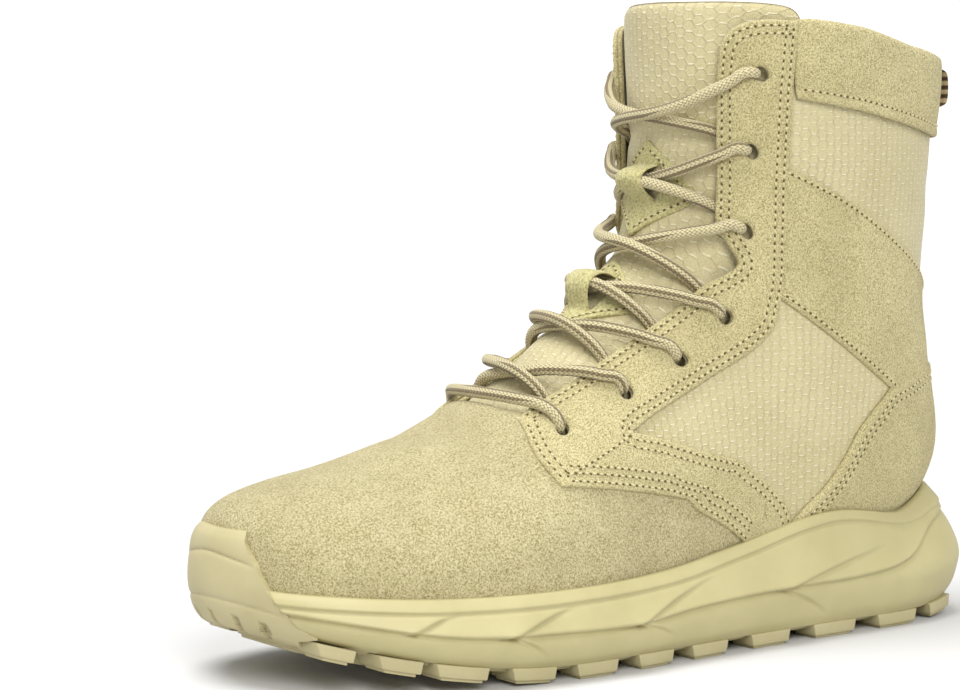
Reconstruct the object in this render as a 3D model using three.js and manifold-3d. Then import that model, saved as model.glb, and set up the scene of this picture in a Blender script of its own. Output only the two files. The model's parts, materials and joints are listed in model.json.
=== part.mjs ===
// Combat boot, LEFT foot. Millimetres, +X toe, +Y lateral (outer) side, +Z up.
// Every leather and rubber form is worked out from two tables: the section planes of the upper, and the
// outline of the sole. The origin is the middle of the boot's box on the floor.
import * as THREE from 'three';
import { mergeVertices } from 'three/addons/utils/BufferGeometryUtils.js';
import Module from 'manifold-3d';

const wasm = await Module();
wasm.setup();

// ---------- driving dimensions ----------
const WALL = 2.0;              // suede, fabric and lining together
const GAP = 0.3;               // between pieces that touch
const TREAD = 5.0;             // rubber under the midsole, lugs included
const TREAD_SHEET = 1.6;       // rubber left above the grooves between the lugs
const BUMPER_WALL = 4.0;       // rubber over the front of the midsole
const BUMPER_ROOT = 0.5;       // overlap of the bumper with the tread it is moulded with
const TOE_SPRING = 18;         // lift of the tread at the toe
const SPRING_START = 45;       // x where the tread leaves the floor
const HEEL_ROCKER = 5;         // lift of the tread at the back of the heel
const ROCKER_START = -105;
const TONGUE_THICK = 4.0;
const TONGUE_GAP = 0.9;        // between the tongue and the lining
const BAND_PROUD = 2.6;        // padded collar band over the shaft
const COUNTER_PROUD = 1.8;
const INSOLE_DROP = WALL + GAP;
const LACE_RADIUS = 2.3;
const EYELET_RADIUS = 2.2;
const KEEPER_THICK = 0.7;
const KEEPER_DEPTH = 2.1;      // of its inner face, under the outer form
const LOOP_WIDTH = 14;
const ZIP_WIDTH = 8;
const ZIP_THICK = 1.2;
const SHOULDER = 6;            // throw of the cutters past the wall

// ---------- tables ----------
// Section planes of the upper's outer form, from the toe to the top line. Each plane runs from the ridge or
// throat line (front) to the sole or back seam (back): their x, z and y; half width to the lateral and to the
// medial side; where the widest point lies between front and back; superellipse powers of the two halves.
const SECTION_COLUMNS = ['frontX', 'frontZ', 'frontY', 'backX', 'backZ', 'backY', 'lateral', 'medial',
  'widest', 'frontPower', 'backPower'];
const SECTIONS = [
  [146, 44, -10, 146, 40, -10, 1.5, 1.5, 0.50, 2.0, 2.0],
  [144, 55, -10, 144, 28, -10, 18, 17, 0.55, 2.0, 2.2],
  [137, 60, -9, 137, 22, -9, 31, 28, 0.60, 2.1, 2.8],
  [122, 64, -8, 122, 17, -8, 41, 37, 0.64, 2.1, 3.6],
  [102, 67.5, -7, 102, 15, -5, 47, 43, 0.66, 2.1, 4.5],
  [79, 73.5, -6, 79, 14, -2, 50, 46, 0.68, 2.1, 5.0],
  [58, 81.5, -5, 53, 15, 0, 50.5, 46, 0.70, 2.1, 5.0],
  [40, 93, -4, 19, 17, 1, 47, 41, 0.68, 2.1, 4.5],
  [24, 106, -3, -21, 20, 1, 43, 37, 0.62, 2.1, 4.0],
  [8, 119, -2, -73, 24, 0, 40.5, 36, 0.56, 2.1, 3.2],
  [-5, 132, -1, -117, 29, 0, 41, 38, 0.50, 2.1, 2.5],
  [-13, 146, 0, -143, 54, 0, 42.5, 40, 0.48, 2.1, 2.2],
  [-17, 160, 0, -137.5, 92, 0, 43.5, 41.5, 0.48, 2.1, 2.2],
  [-18, 174, 0, -135.5, 122, 0, 44.5, 43, 0.48, 2.1, 2.2],
  [-18, 188, 0, -137.5, 152, 0, 45.5, 44, 0.48, 2.1, 2.2],
  [-17, 203, 0, -141.5, 184, 0, 46, 45, 0.48, 2.1, 2.2],
  [-15, 222, 0, -144.5, 212, 0, 47, 46, 0.48, 2.1, 2.2],
];
const TOP_PLANE = SECTIONS.length - 1;

// Outline of the sole, seen from above, from the back of the heel round the lateral side to the toe and back
// along the medial side. Point k and point 24 - k face each other across the sole.
const OUTLINE = [
  [-152, 0], [-149, 18], [-138, 33], [-112, 42], [-75, 45], [-35, 48], [5, 53], [45, 57], [80, 55],
  [110, 46], [134, 29], [147, 8], [151, -10],
  [146, -28], [132, -42], [110, -50], [80, -53], [50, -52], [10, -45], [-30, -40], [-70, -40],
  [-112, -39], [-138, -31], [-149, -17],
];
const OUTLINE_STEPS = 2;

// Side wall of the midsole: share of the height, distance outside the outline
const MIDSOLE_WALL = [[0, -4.0], [0.14, -1.0], [0.38, 1.0], [0.62, 0.2], [0.86, -1.6], [1, -3.4]];
// Top edge of the midsole along the boot: x, z
const RIM = [[-160, 49], [-127, 47.5], [-113, 42.5], [-100, 41], [-76, 43.5], [-50, 45.5], [-32, 44.5],
  [-3, 39], [20, 35.5], [43, 32.5], [80, 30.5], [112, 31], [136, 32], [160, 34]];
// Side wall of the tread: share of the height, distance outside the outline
const TREAD_WALL = [[0, -4.2], [0.5, -3.4], [1, -2.6]];
// Outer wall of the toe bumper, up to its top edge
const BUMPER_PROFILE = [[0, -2.6], [0.2, -0.4], [0.45, 0.9], [0.65, 0.4], [0.82, -1.2], [0.94, -3.6], [1, -6]];
const BUMPER_TOP = 50;
// Rear edge of the toe bumper, from the top of the toe down to the tread: x, z
const BUMPER_EDGE = [[148.5, 60], [148, 50], [147, 46.5], [145.5, 39], [143, 32.8], [141, 26.7], [137, 21.5],
  [133, 17.7], [127, 12]];
// Perimeter lugs on the lateral side: x of front and back of each
const LUGS = [[133, 123], [117, 104], [100, 82.5], [74.5, 57.5], [49.5, 32], [23, 6.5], [-2, -19.5],
  [-31, -50], [-61.5, -82.5], [-93.5, -114], [-122, -137]];
const LUG_DEPTH = 17;          // from the outline towards the middle of the tread
const GROOVE = 5;              // between the perimeter lugs and the middle row

// Top line of the collar, x and z, from the throat to the back seam
const TOP_LINE = [[-29, 196], [-30.5, 205], [-35, 210.5], [-45, 213], [-55, 213.3], [-78, 210.4], [-101, 204.8],
  [-125, 201.5], [-151, 200]];
// Bottom line of the collar band
const BAND_LINE = [[-53, 187], [-78, 183], [-120, 174.5], [-165, 172]];
// Front and top edge of the heel counter
const COUNTER_LINE = [[-55, 30], [-55, 42], [-80, 69], [-100, 87], [-122, 92], [-165, 96]];
// Footbed height
const FOOTBED = [[-160, 37], [-95, 36], [-60, 32.5], [-20, 28], [20, 24.5], [50, 21.5], [80, 20.5], [110, 22.5],
  [135, 27.5], [160, 34]];

// Half width of the throat: section plane, share of the way round
const THROAT = [[6.45, 0.09], [6.75, 0.145], [7.7, 0.18], [8.9, 0.2], [10.2, 0.225], [10.75, 0.262],
  [11.1, 0.27], [11.35, 0.222], [12.8, 0.205], [14.1, 0.2], [15.3, 0.205], [16, 0.21]];
const TONGUE = [[5.9, 0.16], [6.6, 0.23], [8, 0.28], [10, 0.31], [12, 0.33], [14, 0.35], [15.4, 0.36],
  [15.7, 0.345], [15.85, 0.3]];
// Eyelets, top to bottom: section plane, share of the way round
const EYELETS = [[14.79, 0.295], [13.24, 0.28], [11.64, 0.28], [10.09, 0.3], [9.04, 0.295], [8.09, 0.275],
  [6.9, 0.24]];

// ---------- curves ----------
function catmull(p0, p1, p2, p3, t) {
  return 0.5 * (2 * p1 + (p2 - p0) * t + (2 * p0 - 5 * p1 + 4 * p2 - p3) * t * t
    + (3 * p1 - p0 - 3 * p2 + p3) * t * t * t);
}

// A row of the section table at any place between two rows
function sectionAt(u) {
  const clamped = Math.min(Math.max(u, 0), TOP_PLANE - 1e-9);
  const i = Math.floor(clamped);
  const row = {};
  SECTION_COLUMNS.forEach((name, c) => {
    const p1 = SECTIONS[i][c];
    const p2 = SECTIONS[i + 1][c];
    const p0 = i > 0 ? SECTIONS[i - 1][c] : 2 * p1 - p2;
    const p3 = i < TOP_PLANE - 1 ? SECTIONS[i + 2][c] : 2 * p2 - p1;
    row[name] = catmull(p0, p1, p2, p3, clamped - i);
  });
  return row;
}

// Point of the outer form. v is 0 on the ridge and 1 on the sole or back seam, positive to the lateral side.
function onForm(u, v) {
  const s = sectionAt(u);
  const angle = Math.abs(v) * Math.PI;
  const cos = Math.cos(angle);
  const power = cos > 0 ? s.frontPower : s.backPower;
  const along = Math.sign(cos) * Math.abs(cos) ** (2 / power);
  const out = Math.max(Math.sin(angle), 0) ** (2 / power);
  const a = cos > 0 ? s.widest * (1 - along) : s.widest - (1 - s.widest) * along;
  return new THREE.Vector3(
    s.frontX + (s.backX - s.frontX) * a,
    s.frontY + (s.backY - s.frontY) * a + (v >= 0 ? s.lateral : -s.medial) * out,
    s.frontZ + (s.backZ - s.frontZ) * a);
}

const wrap = (v) => (v > 1 ? v - 2 : v < -1 ? v + 2 : v);

function formNormal(u, v) {
  const du = 0.05;
  const dv = 0.02;
  const alongU = onForm(Math.min(u + du, TOP_PLANE), v).sub(onForm(Math.max(u - du, 0), v));
  const alongV = onForm(u, wrap(v + dv)).sub(onForm(u, wrap(v - dv)));
  return alongV.cross(alongU).normalize();
}

// Point at a distance outside (or, below zero, inside) the outer form
function offForm(u, v, out) {
  return onForm(u, v).addScaledVector(formNormal(u, v), out);
}

// Height along a broken line of [x, z] points given in order of x
function heightOn(line, x) {
  const points = line[0][0] < line[line.length - 1][0] ? line : [...line].reverse();
  if (x <= points[0][0]) return points[0][1];
  for (let i = 1; i < points.length; i += 1) {
    const [x1, z1] = points[i];
    const [x0, z0] = points[i - 1];
    if (x <= x1) return z0 + (z1 - z0) * (x - x0) / (x1 - x0);
  }
  return points[points.length - 1][1];
}

const throatAt = (u) => heightOn(THROAT, u);

// Lift of the tread above the floor
function lift(x) {
  const toe = Math.max(x - SPRING_START, 0) / (152 - SPRING_START);
  const heel = Math.max(ROCKER_START - x, 0) / 47;
  return TOE_SPRING * toe ** 2 + HEEL_ROCKER * heel ** 2;
}

// ---------- solids ----------
function signedVolume(positions, triangles) {
  const [a, b, c] = [new THREE.Vector3(), new THREE.Vector3(), new THREE.Vector3()];
  let sum = 0;
  for (let i = 0; i < triangles.length; i += 3) {
    a.fromArray(positions, triangles[i] * 3);
    b.fromArray(positions, triangles[i + 1] * 3);
    c.fromArray(positions, triangles[i + 2] * 3);
    sum += a.dot(b.cross(c));
  }
  return sum / 6;
}

function toSolid(geometry) {
  const bare = geometry.clone();
  bare.deleteAttribute('normal');
  bare.deleteAttribute('uv');
  const merged = mergeVertices(bare, 1e-4);
  const positions = Float32Array.from(merged.attributes.position.array);
  const triangles = Uint32Array.from(merged.index.array);
  if (signedVolume(positions, triangles) < 0) triangles.reverse();
  return new wasm.Manifold(new wasm.Mesh({ numProp: 3, vertProperties: positions, triVerts: triangles }));
}

function toGeometry(solid) {
  const mesh = solid.getMesh();
  const geometry = new THREE.BufferGeometry();
  geometry.setAttribute('position', new THREE.BufferAttribute(mesh.vertProperties, 3));
  geometry.setIndex(new THREE.BufferAttribute(mesh.triVerts, 1));
  geometry.computeVertexNormals();
  return geometry;
}

function fromFaces(points, faces) {
  const geometry = new THREE.BufferGeometry().setFromPoints(points);
  geometry.setIndex(faces);
  return toSolid(geometry);
}

// Closed skin over a stack of rings. The first and last ring are closed by strips that join point k to
// point n - k, or by a fan round their middle.
function skin(rings, cap) {
  const n = rings[0].length;
  const points = rings.flat();
  const faces = [];
  for (let r = 0; r + 1 < rings.length; r += 1) {
    for (let k = 0; k < n; k += 1) {
      const next = (k + 1) % n;
      const [a, b, c, d] = [r * n + k, r * n + next, (r + 1) * n + next, (r + 1) * n + k];
      faces.push(a, b, c, a, c, d);
    }
  }
  [0, rings.length - 1].forEach((r) => {
    const turn = r === 0 ? (a, b, c) => faces.push(c, b, a) : (a, b, c) => faces.push(a, b, c);
    const base = r * n;
    if (cap === 'fan') {
      const middle = rings[r].reduce((sum, p) => sum.add(p), new THREE.Vector3()).divideScalar(n);
      points.push(middle);
      for (let k = 0; k < n; k += 1) turn(base + k, base + (k + 1) % n, points.length - 1);
    } else {
      turn(base, base + 1, base + n - 1);
      for (let k = 1; k < n / 2 - 1; k += 1) {
        turn(base + k, base + k + 1, base + n - k);
        turn(base + k + 1, base + n - k - 1, base + n - k);
      }
      turn(base + n / 2 - 1, base + n / 2, base + n / 2 + 1);
    }
  });
  return fromFaces(points, faces);
}

// The whole form of the upper, grown or shrunk by a distance
const AROUND = 30;
const SHAFT_PLANE = 11;        // from here up the planes lie close enough on their own
function form(out) {
  const rings = [];
  for (let u = 0; u <= TOP_PLANE; u += u < SHAFT_PLANE ? 0.5 : 1) {
    const ring = [];
    for (let k = 0; k < AROUND; k += 1) ring.push(offForm(u, wrap(2 * k / AROUND), out));
    rings.push(ring);
  }
  return skin(rings, 'fan');
}

// A piece of the form between two distances, its half width given along the section planes
function patch(widths, inner, outer, columns, middle = 0) {
  const rings = widths.map(([u, half]) => {
    const ring = [];
    for (let k = 0; k <= columns; k += 1) ring.push(offForm(u, middle + half * (2 * k / columns - 1), inner));
    for (let k = columns; k >= 0; k -= 1) ring.push(offForm(u, middle + half * (2 * k / columns - 1), outer));
    return ring;
  });
  const n = rings[0].length;
  const points = rings.flat();
  const faces = [];
  for (let r = 0; r + 1 < rings.length; r += 1) {
    for (let k = 0; k < n; k += 1) {
      const next = (k + 1) % n;
      const [a, b, c, d] = [r * n + k, r * n + next, (r + 1) * n + next, (r + 1) * n + k];
      faces.push(a, b, c, a, c, d);
    }
  }
  [0, (rings.length - 1) * n].forEach((base, last) => {
    for (let k = 0; k < columns; k += 1) {
      const quad = [base + k, base + k + 1, base + n - 2 - k, base + n - 1 - k];
      if (last) faces.push(quad[0], quad[1], quad[2], quad[0], quad[2], quad[3]);
      else faces.push(quad[2], quad[1], quad[0], quad[3], quad[2], quad[0]);
    }
  });
  return fromFaces(points, faces);
}

// More rows between the rows of a width table
function refine(widths, step) {
  const rows = [];
  for (let i = 0; i + 1 < widths.length; i += 1) {
    const [[u0, w0], [u1, w1]] = [widths[i], widths[i + 1]];
    const count = Math.max(1, Math.round((u1 - u0) / step));
    for (let k = 0; k < count; k += 1) rows.push([u0 + (u1 - u0) * k / count, w0 + (w1 - w0) * k / count]);
  }
  rows.push(widths[widths.length - 1]);
  return rows;
}

// A side-view outline of [x, z] points given a width across the boot
function slab(points, yFrom, yTo) {
  const shape = new THREE.Shape(points.map(([x, z]) => new THREE.Vector2(x, z)));
  const geometry = new THREE.ExtrudeGeometry(shape, { depth: yTo - yFrom, bevelEnabled: false });
  geometry.rotateX(Math.PI / 2);
  geometry.translate(0, yTo, 0);
  return toSolid(geometry);
}

function block(width, depth, height, x, y, z) {
  return toSolid(new THREE.BoxGeometry(width, depth, height).translate(x, y, z));
}

// The sole's outline, smoothed, with the outward direction at each point
function soleOutline() {
  const count = OUTLINE.length;
  const points = [];
  for (let i = 0; i < count; i += 1) {
    const [p0, p1, p2, p3] = [-1, 0, 1, 2].map((d) => OUTLINE[(i + d + count) % count]);
    for (let s = 0; s < OUTLINE_STEPS; s += 1) {
      const t = s / OUTLINE_STEPS;
      points.push(new THREE.Vector2(catmull(p0[0], p1[0], p2[0], p3[0], t), catmull(p0[1], p1[1], p2[1], p3[1], t)));
    }
  }
  return points.map((p, k) => {
    const before = points[(k - 1 + points.length) % points.length];
    const after = points[(k + 1) % points.length];
    const along = after.clone().sub(before).normalize();
    return { x: p.x, y: p.y, outX: -along.y, outY: along.x };
  });
}
const SOLE_OUTLINE = soleOutline();

// A layer of the sole: side wall table, bottom and top height as functions of x, extra inset all round
function soleLayer(wall, bottomAt, topAt, inset = 0) {
  const rings = wall.map(([share, out]) => SOLE_OUTLINE.map((p) => {
    const x = p.x + p.outX * (out - inset);
    const y = p.y + p.outY * (out - inset);
    const [low, high] = [bottomAt(p.x), topAt(p.x)];
    return new THREE.Vector3(x, y, low + (high - low) * share);
  }));
  return skin(rings, 'strips');
}

function tube(points, radius, steps, sides) {
  const circle = new THREE.Shape();
  for (let k = 0; k < sides; k += 1) {
    const angle = 2 * Math.PI * k / sides;
    const [x, y] = [radius * Math.cos(angle), radius * Math.sin(angle)];
    if (k === 0) circle.moveTo(x, y);
    else circle.lineTo(x, y);
  }
  const path = new THREE.CatmullRomCurve3(points);
  return toSolid(new THREE.ExtrudeGeometry(circle, { steps, extrudePath: path, bevelEnabled: false }));
}

// ---------- materials ----------
const material = (color, roughness, metalness = 0) => new THREE.MeshStandardMaterial({ color, roughness, metalness });
const suede = material('#c3b685', 0.95);
const foam = material('#b9ad7e', 0.75);
const rubber = material('#b5a97c', 0.8);
const fabric = material('#c9be93', 0.85);
const lining = material('#a89d76', 0.95);
const cord = material('#b39d77', 0.85);
const webbing = material('#5d4a34', 0.9);
const zipTape = material('#1d1c1a', 0.8);
const zipMetal = material('#b8b8b4', 0.35, 0.9);

// ---------- pieces ----------
const outer = form(0);
const grown = form(GAP);

function upper() {
  const inner = form(-WALL);
  const topLine = [...TOP_LINE, [-200, 200], [-200, 300], [200, 300], [200, 196]];
  const aboveTopLine = slab(topLine, -90, 90);
  const belowFootbed = block(400, 200, 110, 0, 0, -10);
  const underneath = inner.translate([0, 0, -WALL - 1]).intersect(belowFootbed);
  const throat = patch(refine(THROAT, 0.6), -WALL - SHOULDER, SHOULDER, 8);
  let solid = outer.subtract(inner).subtract(aboveTopLine).subtract(underneath).subtract(throat);
  EYELETS.forEach(([u, v]) => [1, -1].forEach((side) => {
    const punch = new THREE.CylinderGeometry(EYELET_RADIUS, EYELET_RADIUS, 4 * WALL, 8);
    const turn = new THREE.Quaternion().setFromUnitVectors(new THREE.Vector3(0, 1, 0), formNormal(u, side * v));
    punch.applyQuaternion(turn);
    punch.translate(...onForm(u, side * v).toArray());
    solid = solid.subtract(toSolid(punch));
  }));
  return solid;
}

// Everything in front of the bumper's rear edge, moved back by a gap
function toeZone(gap) {
  const edge = BUMPER_EDGE.map(([x, z]) => [x - gap, z]);
  return slab([...edge, [127 - gap, -20], [200, -20], [200, 60]], -90, 90);
}

const midsoleBottom = (x) => lift(x) + TREAD + GAP;
const midsoleTop = (x) => heightOn(RIM, x);

function midsole() {
  const whole = soleLayer(MIDSOLE_WALL, midsoleBottom, midsoleTop);
  const core = soleLayer(MIDSOLE_WALL, midsoleBottom, midsoleTop, BUMPER_WALL + GAP);
  return whole.subtract(toeZone(GAP).subtract(core)).subtract(grown);
}

function outsole() {
  const floor = (x) => lift(x);
  let tread = soleLayer(TREAD_WALL, floor, (x) => lift(x) + TREAD);
  const groove = (width, depth, x, y) => {
    const cut = new THREE.BoxGeometry(width, depth, 12);
    const slope = (lift(x + 1) - lift(x - 1)) / 2;
    cut.rotateY(-Math.atan(slope));
    cut.translate(x, y, lift(x) + TREAD - TREAD_SHEET - 6 * Math.cos(Math.atan(slope)));
    tread = tread.subtract(toSolid(cut));
  };
  for (let i = 0; i + 1 < LUGS.length; i += 1) {
    const [from, to] = [LUGS[i][1], LUGS[i + 1][0]];
    const x = (from + to) / 2;
    groove(Math.abs(from - to), 120, x, 0);
  }
  LUGS.forEach(([front, back]) => {
    const x = (front + back) / 2;
    const half = SOLE_OUTLINE.filter((p) => p.x < front && p.x > back);
    const lateral = Math.max(...half.map((p) => p.y)) - LUG_DEPTH;
    const medial = Math.min(...half.map((p) => p.y)) + LUG_DEPTH;
    const length = front - back + 2;
    groove(length, GROOVE, x, lateral - GROOVE / 2);
    groove(length, GROOVE, x, medial + GROOVE / 2);
  });
  const front = soleLayer(BUMPER_PROFILE, (x) => lift(x) + TREAD - BUMPER_ROOT, () => BUMPER_TOP);
  const core = soleLayer(MIDSOLE_WALL, midsoleBottom, (x) => midsoleTop(x) + GAP, BUMPER_WALL);
  return tread.add(front.intersect(toeZone(0)).subtract(core).subtract(grown));
}

function insole() {
  const shrunk = form(-WALL - GAP);
  const footbed = slab([...FOOTBED, [160, -20], [-160, -20]], -90, 90);
  return shrunk.add(shrunk.translate([0, 0, -INSOLE_DROP])).intersect(footbed);
}

function tongue() {
  const face = -WALL - TONGUE_GAP;
  return patch(refine(TONGUE, 1), face - TONGUE_THICK, face, 10);
}

function collarBand() {
  const shell = form(GAP + BAND_PROUD).subtract(grown);
  const top = TOP_LINE.filter(([x]) => x < -54);
  const outline = [...top, [-200, 200], [-200, 172], ...[...BAND_LINE].reverse(), [-53, 213.2]];
  return shell.intersect(slab(outline, -90, 90));
}

function heelCounter() {
  const shell = form(GAP + COUNTER_PROUD).subtract(grown);
  const outline = [...COUNTER_LINE, [-165, 30]];
  const rim = soleLayer(MIDSOLE_WALL, midsoleBottom, (x) => midsoleTop(x) + GAP, -GAP);
  return shell.intersect(slab(outline, -90, 90)).subtract(rim);
}

// Webbing folded into a flat loop and sewn over the back seam
function heelLoop() {
  const [bottom, top, back, thick, sag] = [184.5, 199.5, -146.3, 1.4, 5.9];
  const ring = (inset) => {
    const [x0, x1, z0, z1] = [back - inset, back - 2 * thick - sag + inset, bottom + inset, top - inset];
    return [[x0, z0], [x1 + 1, z0], [x1, z0 + 1.5], [x1, z1 - 1.5], [x1 + 1, z1], [x0, z1]];
  };
  return slab(ring(0), -LOOP_WIDTH / 2, LOOP_WIDTH / 2)
    .subtract(slab(ring(thick), -LOOP_WIDTH, LOOP_WIDTH));
}

// Route of one run of lace over the throat, from under one edge to the eyelet above on the other side: share
// of the throat's half width, share of the climb between the two eyelets, height over the form
const CROSS_RUN = [[0.68, 0, 1.3], [0.5, 0.01, 2.0], [0.25, 0.03, 2.8], [0, 0.07, 3.1], [-0.4, 0.2, 3.3],
  [-0.8, 0.6, 3.3], [-1.15, 0.97, 3.0]];
const RUN_START = 0.2;         // planes above the lower eyelet where a run comes out from under the edge

function laceCrossing(index) {
  const [upperU] = EYELETS[index];
  const [lowerU] = EYELETS[index + 1];
  const start = lowerU + RUN_START;
  const run = (side) => CROSS_RUN.map(([across, climb, out]) => {
    const u = start + (upperU - start) * climb;
    return offForm(u, side * across * throatAt(u), out);
  });
  return tube(run(1), LACE_RADIUS, 5, 8).add(tube(run(-1), LACE_RADIUS, 5, 8));
}

// The first stretch, laid over the throat between the two lowest eyelets, dips in its middle
const BAR = { half: 0.2, dip: 0.4, out: 3.1 };

function laceBar() {
  const [u] = EYELETS[EYELETS.length - 1];
  const points = [-1, -0.65, -0.3, 0, 0.3, 0.65, 1].map((share) => (
    offForm(u - BAR.dip * (1 - share ** 2), share * BAR.half, BAR.out)));
  return tube(points, LACE_RADIUS, 6, 8);
}

// Suede diamond on the tongue: middle plane and half length along the planes, half width around
function keeper(middle, half, width) {
  const rows = [[middle - half, 0.012], [middle, width], [middle + half, 0.012]];
  return patch(refine(rows, half / 3), -KEEPER_DEPTH, -KEEPER_DEPTH + KEEPER_THICK, 6);
}

// The zip runs down the medial side on a slant
const ZIP_TOP = [-83, 179];
const ZIP_BOTTOM = [-60, 58];

function zipChain() {
  const half = ZIP_WIDTH / 2;
  const outline = [[ZIP_TOP[0] - half, ZIP_TOP[1]], [ZIP_TOP[0] + half, ZIP_TOP[1]],
    [ZIP_BOTTOM[0] + half, ZIP_BOTTOM[1]], [ZIP_BOTTOM[0] - half, ZIP_BOTTOM[1]]];
  return form(GAP + ZIP_THICK).subtract(grown).intersect(slab(outline, -90, -10));
}

// Place on the medial side of the form at a given x and z
function medialPlace(x, z) {
  let best = null;
  for (let u = 9; u <= TOP_PLANE; u += 0.05) {
    for (let v = -0.8; v <= -0.3; v += 0.005) {
      const p = onForm(u, v);
      const miss = (p.x - x) ** 2 + (p.z - z) ** 2;
      if (!best || miss < best.miss) best = { u, v, p, miss };
    }
  }
  return best;
}

// Slider: a tapered body with a bail that holds the cross bar of the pull
const SLIDER = { width: 8.5, length: 10, thick: 2.2, fromTop: 9 };
const BAIL = { width: 2, wall: 1, hollowLength: 2.6, hollowHeight: 2.2 };
const PULL = { barRadius: 0.7, outerWidth: 6.4, armWidth: 1.6, armLength: 5.2, length: 22, thick: 1.2 };
const PULL_AXIS_HEIGHT = SLIDER.thick + BAIL.hollowHeight / 2;

function zipSlider() {
  const { width, length, thick } = SLIDER;
  const shape = new THREE.Shape([[-width / 2, length / 2], [-width / 3, -length / 2], [width / 3, -length / 2],
    [width / 2, length / 2]].map(([x, y]) => new THREE.Vector2(x, y)));
  const body = toSolid(new THREE.ExtrudeGeometry(shape, { depth: thick, bevelEnabled: false }));
  const { width: across, wall, hollowLength, hollowHeight } = BAIL;
  const outerLength = hollowLength + 2 * wall;
  const arch = block(across, outerLength, hollowHeight + wall + 0.5, 0, 0, thick + (hollowHeight + wall - 0.5) / 2);
  const hollow = block(across * 2, hollowLength, hollowHeight, 0, 0, thick + hollowHeight / 2);
  return body.add(arch.subtract(hollow));
}

// Pull tab, its cross bar at the origin
function zipPull() {
  const { barRadius, outerWidth, armWidth, armLength, length, thick } = PULL;
  const bar = toSolid(new THREE.CylinderGeometry(barRadius, barRadius, outerWidth, 12).rotateZ(Math.PI / 2));
  const arm = (side) => block(armWidth, armLength, thick, side * (outerWidth - armWidth) / 2, -armLength / 2, 0);
  const plate = block(outerWidth, length - armLength, thick, 0, -(length + armLength) / 2 + 0.2, 0);
  return bar.add(arm(1)).add(arm(-1)).add(plate);
}

// ---------- assembly ----------
const boot = new THREE.Group();
const assembly = new THREE.Group();
assembly.add(boot);

function add(name, solid, look, parent = boot) {
  const mesh = new THREE.Mesh(toGeometry(solid), look);
  mesh.name = name;
  parent.add(mesh);
  return mesh;
}

add('upper', upper(), suede);
add('midsole', midsole(), foam);
add('outsole', outsole(), rubber);
add('insole', insole(), lining);
add('tongue', tongue(), fabric);
add('collar_band', collarBand(), suede);
add('heel_counter', heelCounter(), suede);
add('heel_loop', heelLoop(), webbing);
add('lace_bar', laceBar(), cord);
for (let i = 0; i + 1 < EYELETS.length; i += 1) add(`lace_crossing_${i + 1}`, laceCrossing(i), cord);
add('lace_keeper_upper', keeper(11.8, 1.1, 0.15), suede);
add('lace_keeper_lower', keeper(9.25, 0.8, 0.14), suede);
add('zip_chain', zipChain(), zipTape);

// Slider and pull share a frame: x across the zip, y up along it, z out of the boot
const zipLength = Math.hypot(ZIP_TOP[0] - ZIP_BOTTOM[0], ZIP_TOP[1] - ZIP_BOTTOM[1]);
const share = SLIDER.fromTop / zipLength;
const sliderX = ZIP_TOP[0] + (ZIP_BOTTOM[0] - ZIP_TOP[0]) * share;
const sliderZ = ZIP_TOP[1] + (ZIP_BOTTOM[1] - ZIP_TOP[1]) * share;
const seat = medialPlace(sliderX, sliderZ);
const outward = formNormal(seat.u, seat.v);
const zipUp = new THREE.Vector3(ZIP_TOP[0] - ZIP_BOTTOM[0], 0, ZIP_TOP[1] - ZIP_BOTTOM[1]);
zipUp.addScaledVector(outward, -zipUp.dot(outward)).normalize();
const zipAcross = zipUp.clone().cross(outward);
const zipFrame = new THREE.Group();
zipFrame.quaternion.setFromRotationMatrix(new THREE.Matrix4().makeBasis(zipAcross, zipUp, outward));
zipFrame.position.copy(seat.p).addScaledVector(outward, 2 * GAP + ZIP_THICK + 0.15);
boot.add(zipFrame);
add('zip_slider', zipSlider(), zipMetal, zipFrame);
const pull = add('zip_pull', zipPull(), zipMetal, zipFrame);
pull.position.set(0, 0, PULL_AXIS_HEIGHT);

// Origin: middle of the box, on the floor
boot.updateMatrixWorld(true);
const box = new THREE.Box3().setFromObject(boot, true);
const centre = box.getCenter(new THREE.Vector3());
boot.position.set(-centre.x, -centre.y, -box.min.z);

export default assembly;
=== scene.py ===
# Combat boot, LEFT foot: the finished looks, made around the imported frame. Blender 4.5, metres.
# Leather and fabric are worked out in millimetres on the last, in its own two numbers: u counts the section
# planes from the toe to the top line, q runs round each plane (0 ridge or throat, 1 sole or back seam, and on
# to 2 along the medial side; below 0 is the medial side seen from the throat).
import json
import math

import bpy
import numpy as np
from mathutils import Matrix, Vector
from mathutils.bvhtree import BVHTree
from mathutils.geometry import delaunay_2d_cdt
from mathutils.kdtree import KDTree


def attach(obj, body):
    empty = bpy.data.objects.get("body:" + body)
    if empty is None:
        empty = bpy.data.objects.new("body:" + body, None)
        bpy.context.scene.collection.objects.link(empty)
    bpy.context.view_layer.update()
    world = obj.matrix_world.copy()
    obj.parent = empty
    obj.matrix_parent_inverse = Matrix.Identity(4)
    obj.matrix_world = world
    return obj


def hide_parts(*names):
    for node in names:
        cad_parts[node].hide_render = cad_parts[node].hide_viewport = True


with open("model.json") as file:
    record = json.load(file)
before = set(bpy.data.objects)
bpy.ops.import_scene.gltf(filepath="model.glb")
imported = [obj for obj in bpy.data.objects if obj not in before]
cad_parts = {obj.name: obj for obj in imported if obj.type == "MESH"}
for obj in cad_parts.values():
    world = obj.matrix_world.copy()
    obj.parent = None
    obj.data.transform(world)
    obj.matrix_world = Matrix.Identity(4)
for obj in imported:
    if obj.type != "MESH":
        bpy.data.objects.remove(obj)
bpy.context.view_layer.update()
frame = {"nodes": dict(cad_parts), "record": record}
MM = 0.001
HEEL_TO_LAST = 0.072           # the last's origin lies this far in front of the heel mount
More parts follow.
